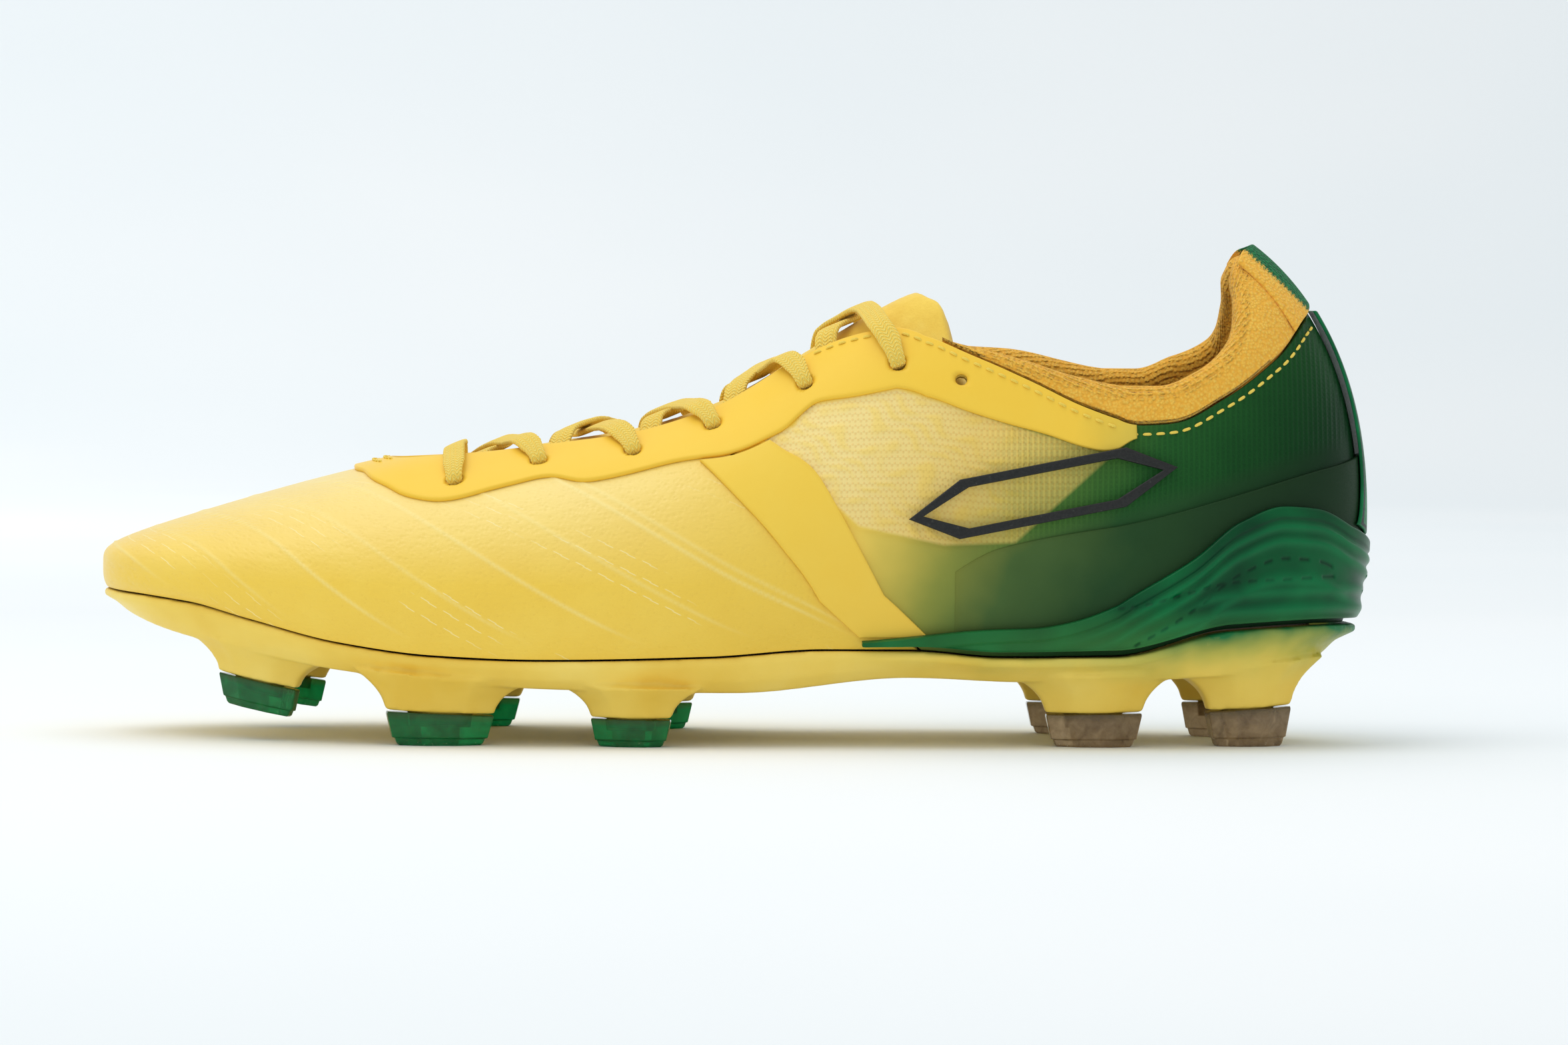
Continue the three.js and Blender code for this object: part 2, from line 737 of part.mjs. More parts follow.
function plateBody() {
  return soleSolid((g) => {
    const { q } = station(g);
    const axis = axisPoint(q);
    const low = (p) => undersideZ(p[0]);
    const rim = seamZ(q) - GAP;
    const inner = seamPlan(g, 3.4);
    const outer = seamPlan(g, -rimOut(q));
    const side = seamPlan(g, 1.4);
    const foot = seamPlan(g, 4.5);
    const half = seamPlan(g, 20);
    return [
      at(axis, low(axis) + PLATE_THICKNESS),
      at(half, low(half) + PLATE_THICKNESS),
      at(inner, Math.min(low(inner) + PLATE_THICKNESS, rim - 0.6)),
      at(seamPlan(g, 2.6), rim),
      at(outer, rim),
      at(outer, rim - 1.6),
      at(side, mix(low(side), rim, 0.35)),
      at(foot, low(foot)),
      at(half, low(half)),
      at(axis, low(axis)),
    ];
  });
}

function layerSolid(inset, bottom, thickness) {
  return soleSolid((g) => {
    const axis = axisPoint(station(g).q);
    const edge = seamPlan(g, inset);
    const half = seamPlan(g, 20);
    const z = (p) => undersideZ(p[0]) + bottom;
    return [
      at(axis, z(axis)),
      at(half, z(half)),
      at(edge, z(edge)),
      at(edge, z(edge) + thickness),
      at(half, z(half) + thickness),
      at(axis, z(axis) + thickness),
    ];
  });
}

// Bladed stud: an eight-sided tapered block standing on a root point and leaning with the plate
const STUDS = {
  stud_tip_fore_lateral_1: { x: -106, y: -21, length: 21, width: 9, height: 13, turn: -0.3 },
  stud_tip_fore_lateral_2: { x: -65.5, y: -33.5, length: 27.5, width: 9, height: 0, turn: 0.12 },
  stud_tip_fore_lateral_3: { x: -23, y: -33.5, length: 20.5, width: 9, height: 0, turn: -0.1 },
  stud_tip_fore_medial_1: { x: -102, y: 25, length: 21, width: 9, height: 13, turn: 0.3 },
  stud_tip_fore_medial_2: { x: -59, y: 33, length: 25.5, width: 9, height: 0, turn: -0.05 },
  stud_tip_fore_medial_3: { x: -17, y: 28, length: 20.5, width: 9, height: 0, turn: 0.2 },
  stud_tip_heel_lateral_1: { x: 81, y: -22, length: 25, width: 10, height: 0, turn: 0 },
  stud_tip_heel_lateral_2: { x: 116.5, y: -15.5, length: 22.5, width: 10, height: 0, turn: 0.22 },
  stud_tip_heel_medial_1: { x: 80, y: 22, length: 25, width: 10, height: 0, turn: 0 },
  stud_tip_heel_medial_2: { x: 114.5, y: 15.5, length: 22.5, width: 10, height: 0, turn: -0.22 },
};
const STUD_TAPER = 0.74;
const CORE_SHARE = 0.55; // share of the section the plate's core takes
const CORE_DEPTH = 0.2; // share of the stud height the core reaches into the tip
const TIP_START = 0.5; // share of the stud height left to the plate's own root

// Outline of a stud at a share t from root (0) to tip (1), at a scale of its section
function studRing(stud, t, scale, out = 0) {
  const slope = undersideZ(stud.x + 1) - undersideZ(stud.x - 1);
  const tilt = Math.atan(slope / 2);
  const root = undersideZ(stud.x);
  const drop = stud.height || root;
  const size = mix(1, STUD_TAPER, t) * scale;
  const a = (stud.length / 2) * size + out;
  const b = (stud.width / 2) * size + out;
  const cut = 0.42;
  const corners = [[-1, -cut], [-cut, -1], [cut, -1], [1, -cut], [1, cut], [cut, 1], [-cut, 1], [-1, cut]];
  return corners.map(([u, v]) => {
    const lx = u * a * Math.cos(stud.turn) - v * b * Math.sin(stud.turn);
    const ly = u * a * Math.sin(stud.turn) + v * b * Math.cos(stud.turn);
    const level = stud.height ? Math.tan(tilt) * lx : Math.tan(tilt) * lx * (1 - t);
    return new THREE.Vector3(stud.x + lx, stud.y + ly, root + level - drop * t);
  });
}

function studLoft(stud, levels) {
  return solidFromRings(levels.map(([t, scale, out]) => studRing(stud, t, scale, out)));
}

function studTip(stud) {
  const outside = studLoft(stud, [[TIP_START, 1, 0], [0.88, 1, 0], [1, 0.9, 0]]);
  const socket = studLoft(stud, [[TIP_START - 0.1, CORE_SHARE, GAP], [TIP_START + CORE_DEPTH, CORE_SHARE, GAP]]);
  return outside.subtract(socket);
}

function plateWithStuds() {
  const studs = Object.values(STUDS).flatMap((stud) => {
    const share = GAP / (stud.height || undersideZ(stud.x));
    const root = studLoft(stud, [[-0.1, 1.34, 0], [0.1, 1.2, 0], [0.3, 1.06, 0], [TIP_START - share, 1, 0]]);
    const core = studLoft(stud, [[0, CORE_SHARE, 0], [TIP_START + CORE_DEPTH - share, CORE_SHARE, 0]]);
    return [root, core];
  });
  return wasm.Manifold.union([plateBody(), ...studs]);
}

// ---- assembly ----

const cleat = new THREE.Group();
const add = (name, solid, look) => cleat.add(part(name, solid, look));

add("outsole_plate", plateWithStuds(), YELLOW);
for (const [name, stud] of Object.entries(STUDS)) {
  add(name, studTip(stud), name.includes("fore") ? STUD_GREEN : STUD_SMOKE);
}
add("insole_board", layerSolid(4.4, PLATE_THICKNESS + GAP, BOARD_THICKNESS), BOARD);
add("sockliner", layerSolid(7.5, PLATE_THICKNESS + BOARD_THICKNESS + GAP + SOCK_GAP, SOCK_THICKNESS), FOAM);

const lateralHoles = holes(-1);
const medialHoles = holes(1);
const allHoles = lateralHoles.add(medialHoles);
add("vamp", vamp().subtract(allHoles), YELLOW);
add("quarter_lateral", quarter(-1).subtract(lateralHoles), OLIVE);
add("quarter_medial", quarter(1).subtract(medialHoles), OLIVE);
add("eyestay", eyestay().subtract(allHoles), FILM);
add("eyelet_facing_lateral", facing(-1).subtract(lateralHoles), BOARD);
add("eyelet_facing_medial", facing(1).subtract(medialHoles), BOARD);
add("band_lateral", band(-1), FILM);
add("band_medial", band(1), FILM);
add("quarter_film_lateral", quarterFilm(-1), DARK_GREEN);
add("quarter_film_medial", quarterFilm(1), DARK_GREEN);
add("side_mark_lateral", sideMark(-1), BLACK);
add("side_mark_medial", sideMark(1), BLACK);
add("heel_stabilizer", heelCup(), TPU_GREEN);
add("backstay", backstay(), TPU_GREEN);
add("knit_collar", collar(), KNIT);
add("heel_tab", heelTab(), TPU_GREEN);
add("heel_lining", lining(), FOAM);
add("heel_counter", heelCounter(), BOARD);
add("toe_puff", toePuff(), BOARD);
add("tongue", tongue(), KNIT);
add("shoelace", lace(), LACE);

export default cleat;
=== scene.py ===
import math

import bpy
import numpy as np
from mathutils import Matrix, Vector


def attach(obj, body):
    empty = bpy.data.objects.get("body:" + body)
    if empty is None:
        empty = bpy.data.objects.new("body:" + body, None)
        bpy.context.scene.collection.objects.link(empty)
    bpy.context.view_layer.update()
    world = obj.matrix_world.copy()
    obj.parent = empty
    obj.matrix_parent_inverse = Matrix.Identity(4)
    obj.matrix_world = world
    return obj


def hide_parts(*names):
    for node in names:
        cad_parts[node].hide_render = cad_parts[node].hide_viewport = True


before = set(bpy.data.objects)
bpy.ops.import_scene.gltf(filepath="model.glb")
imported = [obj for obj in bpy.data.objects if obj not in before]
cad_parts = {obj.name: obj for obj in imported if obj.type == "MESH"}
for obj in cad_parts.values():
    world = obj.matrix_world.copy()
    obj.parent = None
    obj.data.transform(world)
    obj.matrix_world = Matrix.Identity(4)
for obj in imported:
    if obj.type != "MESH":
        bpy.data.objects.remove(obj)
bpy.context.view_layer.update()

MM = 0.001

# ---------------------------------------------------------------- last surface (millimetres)

TOE_X, FORE_X, REAR_X, HEEL_X = -143.0, -45.0, 85.0, 142.6
FORE_Y, TIP_SHIFT = 2.0, 5.0
TOE_EXPONENT, HEEL_EXPONENT = 2.15, 2.3
SEAM = math.radians(-22)
OVERLAY, RAISED, CUP = (0.4, 1.0), (1.4, 2.1), (1.4, 3.0)
LAID = (0.06, 1.0)
THROAT_REACH, THROAT_HALF, THROAT_EXPONENT = 32.0, 18.5, 3.0
CORNER_Q = 1.646
EYELETS = (
    (-62.7, 58, 58), (-44, 62.5, 61), (-23, 65, 63), (-5, 71, 67), (15.6, 80.5, 75.5), (36, 85.3, 80.3),
)
SPARE_EYELET = (50, 82)
LACE_WIDTH, LACE_THICKNESS = 5.0, 1.3
FACING_INNER = -3.0
CROWN_BACK = 122.0


def curve(points, straight=False):
    xs = np.array([p[0] for p in points], float)
    ys = np.array([p[1] for p in points], float)
    rise = np.diff(ys) / np.diff(xs)
    slopes = np.zeros(len(xs))
    for i in range(1, len(xs) - 1):
        a, b = rise[i - 1], rise[i]
        slopes[i] = 0 if a * b <= 0 else 2 * a * b / (a + b)
    if straight:
        slopes[0], slopes[-1] = rise[0], rise[-1]

    def at(x):
        x = np.asarray(x, float)
        c = np.clip(x, xs[0], xs[-1])
        i = np.clip(np.searchsorted(xs, c, side="right") - 1, 0, len(xs) - 2)
        h = xs[i + 1] - xs[i]
        t = (c - xs[i]) / h
        a = (1 + 2 * t) * (1 - t) ** 2 * ys[i] + t * t * (3 - 2 * t) * ys[i + 1]
        y = a + h * t * (1 - t) * ((1 - t) * slopes[i] - t * slopes[i + 1])
        return y + np.where(x < xs[0], slopes[0], slopes[-1]) * (x - c)

    return at


def mix(a, b, t):
    return a + (b - a) * t


def ease(t):
    t = np.clip(t, 0, 1)
    return t * t * (3 - 2 * t)


lateral_y = curve([(FORE_X, -46.5), (25, -38), (REAR_X, -34)])
medial_y = curve([(FORE_X, 45), (22, 31), (REAR_X, 33)])
crown = curve(
    [(-125, 51), (-77, 62.5), (-45, 68.5), (-23, 72), (-5, 78), (15, 90), (39, 104), (60, 108),
     (REAR_X, 108)],
    True,
)
widest_z = curve([(0, 38.5), (0.5, 34.5), (1, 30), (1.5, 33), (2, 42), (3, 51)])
roundness = curve([(0, 3.6), (0.5, 2.6), (1, 2), (2, 2.1), (3, 2.2)])
seam_z = curve([
    (0, 33), (0.25, 32.4), (0.42, 31), (0.55, 27.5), (0.7, 22.8), (0.85, 20.2), (1, 19.5), (1.3, 20.3),
    (1.5, 22), (1.65, 22), (1.8, 20.6), (2, 21), (2.3, 27), (2.6, 28), (3, 27.6),
])
topline_z = curve([
    (1.646, 93.5), (1.73, 91), (1.83, 88), (1.93, 84), (2.02, 82), (2.12, 82), (2.25, 85.5), (2.38, 92),
    (2.5, 101), (2.62, 108), (2.8, 111.8), (3, 112.6),
])
quarter_top_z = curve([
    (1.646, 92.2), (1.75, 87.5), (1.85, 82), (1.95, 76), (2.05, 72.5), (2.15, 73), (2.3, 78.5), (2.5, 87),
    (2.75, 95.5), (3, 98.5),
])
underside_z = curve(
    [(-143, 30), (-128, 24.5), (-110, 20.5), (-88, 16.5), (-60, 13.8), (-42, 12.8), (0, 12), (39, 15.5),
     (65, 14.6), (100, 15.6), (125, 18), (143, 24)],
    True,
)


def station(g):
    lap = np.mod(g, 6)
    return np.where(lap <= 3, 1.0, -1.0), np.where(lap <= 3, lap, 6 - lap)


def lap_of(side, q):
    return q if side > 0 else 6 - q


def centre_y(x):
    return mix(FORE_Y, 0, (np.clip(x, FORE_X, REAR_X) - FORE_X) / (REAR_X - FORE_X))


def axis_point(q):
    x = np.clip(FORE_X + (q - 1) * (REAR_X - FORE_X), FORE_X, REAR_X)
    return x, centre_y(x)


def radius(c, s, n):
    return (np.abs(c) ** n + np.abs(s) ** n) ** (-1 / n)


def outline_y(side, x):
    return np.where(side > 0, medial_y(x), lateral_y(x))


def outline_point(side, q):
    ax, ay = axis_point(q)
    turn = np.where(q < 1, q, np.where(q > 2, 3 - q, 1)) * (math.pi / 2)
    c, s = np.cos(turn), np.sin(turn)
    r = radius(c, s, np.where(q < 1, TOE_EXPONENT, HEEL_EXPONENT))
    reach = np.where(q < 1, TOE_X - FORE_X, HEEL_X - REAR_X)
    half = outline_y(side, ax) - ay
    lean = np.where(q < 1, TIP_SHIFT * c * c, 0)
    between = (q >= 1) & (q <= 2)
    return (
        np.where(between, ax, ax + reach * r * c),
        np.where(between, ay + half, ay + half * r * s + lean),
    )


def section(g, angle):
    g, angle = np.broadcast_arrays(np.asarray(g, float), np.asarray(angle, float))
    side, q = station(g)
    ax, ay = axis_point(q)
    px, py = outline_point(side, q)
    n = roundness(q)
    r = radius(np.cos(angle), np.sin(angle), n)
    share = r * np.cos(angle)
    x, y = mix(ax, px, share), mix(ay, py, share)
    mid = widest_z(q)
    back = np.where(q > 2, np.sin((q - 2) * (math.pi / 2)) ** 2, 0)
    top = mix(crown(np.minimum(x, REAR_X)), CROWN_BACK, back)
    foot = radius(math.cos(SEAM), math.sin(SEAM), n) * math.sin(-SEAM)
    lift = np.where(angle >= 0, top - mid, (mid - seam_z(q)) / foot)
    return np.stack([x, y, mid + lift * r * np.sin(angle)], -1)


def normal(g, angle):
    e = 1e-3
    du = section(g + e, angle) - section(g - e, angle)
    dv = section(g, angle + e) - section(g, angle - e)
    n = -np.cross(du, dv)
    return n / np.maximum(np.linalg.norm(n, axis=-1, keepdims=True), 1e-9)


def on_last(g, angle, out=0.0):
    g, angle, out = np.broadcast_arrays(*(np.asarray(v, float) for v in (g, angle, out)))
    return section(g, angle) + normal(g, angle) * out[..., None]


def angle_where(value, measure, shape):
    low, high = np.full(shape, SEAM), np.full(shape, math.pi / 2)
    for _ in range(36):
        mid = (low + high) / 2
        under = measure(mid) < value
        low, high = np.where(under, mid, low), np.where(under, high, mid)
    return (low + high) / 2


def angle_at_height(g, z):
    g, z = np.broadcast_arrays(np.asarray(g, float), np.asarray(z, float))
    return angle_where(z, lambda a: section(g, a)[..., 2], g.shape)


def angle_at_share(g, share):
    g, share = np.broadcast_arrays(np.asarray(g, float), np.asarray(share, float))
    n = roundness(station(g)[1])
    return angle_where(-share, lambda a: -radius(np.cos(a), np.sin(a), n) * np.cos(a), g.shape)


def arcs(g, start, end, steps=90):
    """Angles from start to end at each g, and the length of surface run up to each."""
    t = np.linspace(0, 1, steps)
    angles = start[..., None] + (end - start)[..., None] * t
    points = section(g[..., None], angles)
    length = np.cumsum(np.linalg.norm(np.diff(points, axis=-2), axis=-1), -1)
    return angles, np.concatenate([np.zeros(length.shape[:-1] + (1,)), length], -1)


def angle_below(g, start, distance):
    g, start, distance = np.broadcast_arrays(*(np.asarray(v, float) for v in (g, start, distance)))
    angles, length = arcs(g, start, np.full(g.shape, SEAM))
    rows = zip(distance.ravel(), length.reshape(-1, 90), angles.reshape(-1, 90))
    flat = [np.interp(d, l, a) for d, l, a in rows]
    return np.array(flat).reshape(g.shape)


def height_up(g, angle):
    """Length of surface from the sole seam up to an angle."""
    flat_g, flat_a = g.ravel(), angle.ravel()
    out = np.zeros(flat_g.shape)
    for i in range(0, len(flat_g), 20000):
        gg, aa = flat_g[i:i + 20000], flat_a[i:i + 20000]
        out[i:i + 20000] = arcs(gg, np.full(gg.shape, SEAM), aa, 24)[1][:, -1]
    return out.reshape(g.shape)


throat_half = curve([(FORE_X, THROAT_HALF), (-5, 16.5), (15, 14.5), (39, 20)])


def throat_share(side, q):
    ax, ay = axis_point(q)
    half = np.abs(outline_y(side, ax) - ay)
    turn = np.minimum(q, 1) * (math.pi / 2)
    c = (FORE_X - TOE_X) / THROAT_REACH * np.cos(turn)
    s = half / THROAT_HALF * np.sin(turn)
    ahead = radius(c, s, THROAT_EXPONENT) / radius(np.cos(turn), np.sin(turn), TOE_EXPONENT)
    return np.where(q >= 1, throat_half(ax) / half, ahead)


def edge_angle(g, inset=0.0):
    g, inset = np.broadcast_arrays(np.asarray(g, float), np.asarray(inset, float))
    side, q = station(g)
    throat = angle_at_share(g, np.minimum(throat_share(side, q), 0.99))
    edge = np.where(q <= CORNER_Q, throat, angle_at_height(g, quarter_top_z(q)))
    return angle_below(g, edge, inset)


def over_plan(x, y):
    x, y = np.broadcast_arrays(np.asarray(x, float), np.asarray(y, float))
    side = np.where(y >= centre_y(x), 1.0, -1.0)
    behind = 1 + (np.clip(x, FORE_X, REAR_X) - FORE_X) / (REAR_X - FORE_X)
    low, high = np.zeros(x.shape), np.ones(x.shape)
    for _ in range(36):
        q = (low + high) / 2
        px, py = outline_point(side, q)
        turned = (px - FORE_X) * (y - FORE_Y) - (py - FORE_Y) * (x - FORE_X)
        low, high = np.where(turned * side < 0, q, low), np.where(turned * side < 0, high, q)
    q = np.where(x < FORE_X, (low + high) / 2, behind)
    ax, ay = axis_point(q)
    px, py = outline_point(side, q)
    share = np.hypot(x - ax, y - ay) / np.hypot(px - ax, py - ay)
    g = np.where(side > 0, q, 6 - q)
    return g, angle_at_share(g, share)


def over_surface(x, y, out):
    return on_last(*over_plan(x, y), out)


def on_side(side, x, z):
    """Lap position and section angle on one side at an x and a height."""
    x, z = np.broadcast_arrays(np.asarray(x, float), np.asarray(z, float))
    low, high = np.zeros(x.shape), np.full(x.shape, 3.0)
    for _ in range(30):
        q = (low + high) / 2
        g = lap_of(side, q)
        under = section(g, angle_at_height(g, z))[..., 0] < x
        low, high = np.where(under, q, low), np.where(under, high, q)
    g = lap_of(side, (low + high) / 2)
    return g, angle_at_height(g, z)


# ---------------------------------------------------------------- node materials

class Shader:
    """A small wrapper that builds one procedural material."""

    def __init__(self, name):
        self.material = bpy.data.materials.new(name)
        self.material.use_nodes = True
        self.tree = self.material.node_tree
        self.tree.nodes.clear()
        self.out = self.tree.nodes.new("ShaderNodeOutputMaterial")
        self.bsdf = self.tree.nodes.new("ShaderNodeBsdfPrincipled")
        self.tree.links.new(self.bsdf.outputs[0], self.out.inputs[0])

    def put(self, value, socket):
        if isinstance(value, bpy.types.NodeSocket):
            self.tree.links.new(value, socket)
        elif isinstance(value, (tuple, list)) and len(value) == 3 and socket.type == "RGBA":
            socket.default_value = (*value, 1)
        else:
            socket.default_value = value

    def node(self, kind, **settings):
        made = self.tree.nodes.new(kind)
        for key, value in settings.items():
            setattr(made, key, value)
        return made

    def set(self, **inputs):
        for key, value in inputs.items():
            self.put(value, self.bsdf.inputs[key.replace("_", " ")])
        return self

    def math(self, operation, a, b=0.0, c=0.0):
        made = self.node("ShaderNodeMath", operation=operation)
        for value, socket in zip((a, b, c), made.inputs):
            self.put(value, socket)
        return made.outputs[0]

    def times(self, a, b):
        return self.math("MULTIPLY", a, b)

    def plus(self, a, b):
        return self.math("ADD", a, b)

    def mm(self):
        """Place on the object, in millimetres: x, y, z sockets and the vector."""
        coord = self.node("ShaderNodeTexCoord")
        scaled = self.node("ShaderNodeVectorMath", operation="SCALE")
        self.put(coord.outputs["Object"], scaled.inputs[0])
        scaled.inputs["Scale"].default_value = 1000
        return self.split(scaled.outputs[0])

    def flat(self):
        """Unrolled place on the surface, in millimetres."""
        coord = self.node("ShaderNodeUVMap", uv_map="Unrolled")
        scaled = self.node("ShaderNodeVectorMath", operation="SCALE")
        self.put(coord.outputs[0], scaled.inputs[0])
        scaled.inputs["Scale"].default_value = 100
        return self.split(scaled.outputs[0])

    def split(self, vector):
        made = self.node("ShaderNodeSeparateXYZ")
        self.put(vector, made.inputs[0])
        return made.outputs[0], made.outputs[1], made.outputs[2], vector

    def join(self, x, y, z=0.0):
        made = self.node("ShaderNodeCombineXYZ")
        for value, socket in zip((x, y, z), made.inputs):
            self.put(value, socket)
        return made.outputs[0]

    def attribute(self, name):
        return self.node("ShaderNodeAttribute", attribute_name=name).outputs["Fac"]

    def noise(self, vector, scale, detail=3.0, rough=0.55, distortion=0.0):
        made = self.node("ShaderNodeTexNoise")
        self.put(vector, made.inputs["Vector"])
        settings = {"Scale": scale, "Detail": detail, "Roughness": rough, "Distortion": distortion}
        for key, value in settings.items():
            self.put(value, made.inputs[key])
        return made.outputs[0]

    def cells(self, vector, scale):
        made = self.node("ShaderNodeTexVoronoi")
        self.put(vector, made.inputs["Vector"])
        made.inputs["Scale"].default_value = scale
        return made.outputs["Distance"]

    def ramp(self, fac, stops):
        made = self.node("ShaderNodeValToRGB")
        self.put(fac, made.inputs[0])
        elements = made.color_ramp.elements
        while len(elements) < len(stops):
            elements.new(0.5)
        for element, (position, colour) in zip(elements, stops):
            element.position = position
            element.color = (*colour, 1) if isinstance(colour, tuple) else (colour, colour, colour, 1)
        return made.outputs[0]

    def fit(self, value, low, high, to_low=0.0, to_high=1.0):
        made = self.node("ShaderNodeMapRange", clamp=True)
        for item, socket in zip((value, low, high, to_low, to_high), made.inputs):
            self.put(item, socket)
        return made.outputs[0]

    def blend(self, fac, a, b, mode="MIX"):
        made = self.node("ShaderNodeMix", data_type="RGBA", blend_type=mode)
        self.put(fac, made.inputs[0])
        self.put(a, made.inputs[6])
        self.put(b, made.inputs[7])
        return made.outputs[2]

    def tint(self, fac, base, colour):
        """base times a colour, by a share."""
        return self.blend(fac, base, self.blend(1.0, base, colour, "MULTIPLY"))

    def wave(self, value, period):
        """0..1..0 along value, once every period."""
        turned = self.math("MULTIPLY", value, 2 * math.pi / period)
        return self.math("MULTIPLY_ADD", self.math("SINE", turned), 0.5, 0.5)

    def stripe(self, value, period, width, soft=0.12):
        """1 inside a line of a width, once every period."""
        place = self.math("PINGPONG", value, period / 2)
        return self.fit(place, width / 2 + soft, max(width / 2 - soft, 0), 0, 1)

    def bump(self, height, distance, strength=1.0):
        """Height is 0..1, distance the depth in millimetres."""
        made = self.node("ShaderNodeBump")
        made.inputs["Strength"].default_value = strength
        made.inputs["Distance"].default_value = distance * MM
        self.put(height, made.inputs["Height"])
        previous = getattr(self, "last_normal", None)
        if previous is not None:
            self.put(previous, made.inputs["Normal"])
        self.last_normal = made.outputs[0]
        self.put(made.outputs[0], self.bsdf.inputs["Normal"])
        return self


# ---------------------------------------------------------------- mesh helpers

def mesh_object(name, verts, faces, material, uv=None, extra=None, body="boot", slot=None, stands_for=()):
    """verts in millimetres, faces an (n, 4) or (n, 3) array, uv per vertex in millimetres."""
    mesh = bpy.data.meshes.new(name)
    faces = np.asarray(faces, np.int64)
    verts = np.asarray(verts, float).reshape(-1, 3)
    sides = faces.shape[1]
    mesh.vertices.add(len(verts))
    mesh.vertices.foreach_set("co", (verts * MM).ravel())
    mesh.loops.add(faces.size)
    mesh.loops.foreach_set("vertex_index", faces.ravel())
    mesh.polygons.add(len(faces))
    mesh.polygons.foreach_set("loop_start", np.arange(len(faces)) * sides)
    mesh.polygons.foreach_set("use_smooth", np.ones(len(faces), bool))
    if uv is not None:
        layer = mesh.uv_layers.new(name="Unrolled")
        layer.data.foreach_set("uv", (np.asarray(uv, float).reshape(-1, 2)[faces.ravel()] / 100).ravel())
    for key, values in (extra or {}).items():
        made = mesh.attributes.new(key, "FLOAT", "POINT")
        made.data.foreach_set("value", np.asarray(values, np.float32).ravel())
    mesh.update(calc_edges=True)
    mesh.validate()
    made = bpy.data.objects.new(name, mesh)
    bpy.context.scene.collection.objects.link(made)
    mesh.materials.append(material)
    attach(made, body)
    if stands_for:
        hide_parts(*stands_for)
    return made


def grid_faces(nu, nv, start=0, wrap_u=False, wrap_v=False):
    """Quads over nu rows of nv vertices."""
    rows, columns = nu if wrap_u else nu - 1, nv if wrap_v else nv - 1
    i, j = np.meshgrid(np.arange(rows), np.arange(columns), indexing="ij")
    i, j = i.ravel(), j.ravel()
    k, l = (i + 1) % nu, (j + 1) % nv
    return start + np.stack([i * nv + j, k * nv + j, k * nv + l, i * nv + l], -1)


def outward(verts, faces):
    """The faces, turned round if the closed surface they make is inside out."""
    a, b, c = (verts[faces[:, k]] for k in range(3))
    volume = np.einsum("ij,ij->i", a, np.cross(b, c)).sum()
    if faces.shape[1] == 4:
        d = verts[faces[:, 3]]
        volume += np.einsum("ij,ij->i", a, np.cross(c, d)).sum()
    return faces[:, ::-1] if volume < 0 else faces


def spaced(count, length, round_off):
    """Even steps from 0 to 1 with a few close ones at both ends, for a rounded edge."""
    near = np.array([0, 0.06, 0.2, 0.45, 0.75]) * round_off / length
    middle = np.linspace(round_off / length, 1 - round_off / length, count)
    return np.concatenate([near, middle, 1 - near[::-1]])


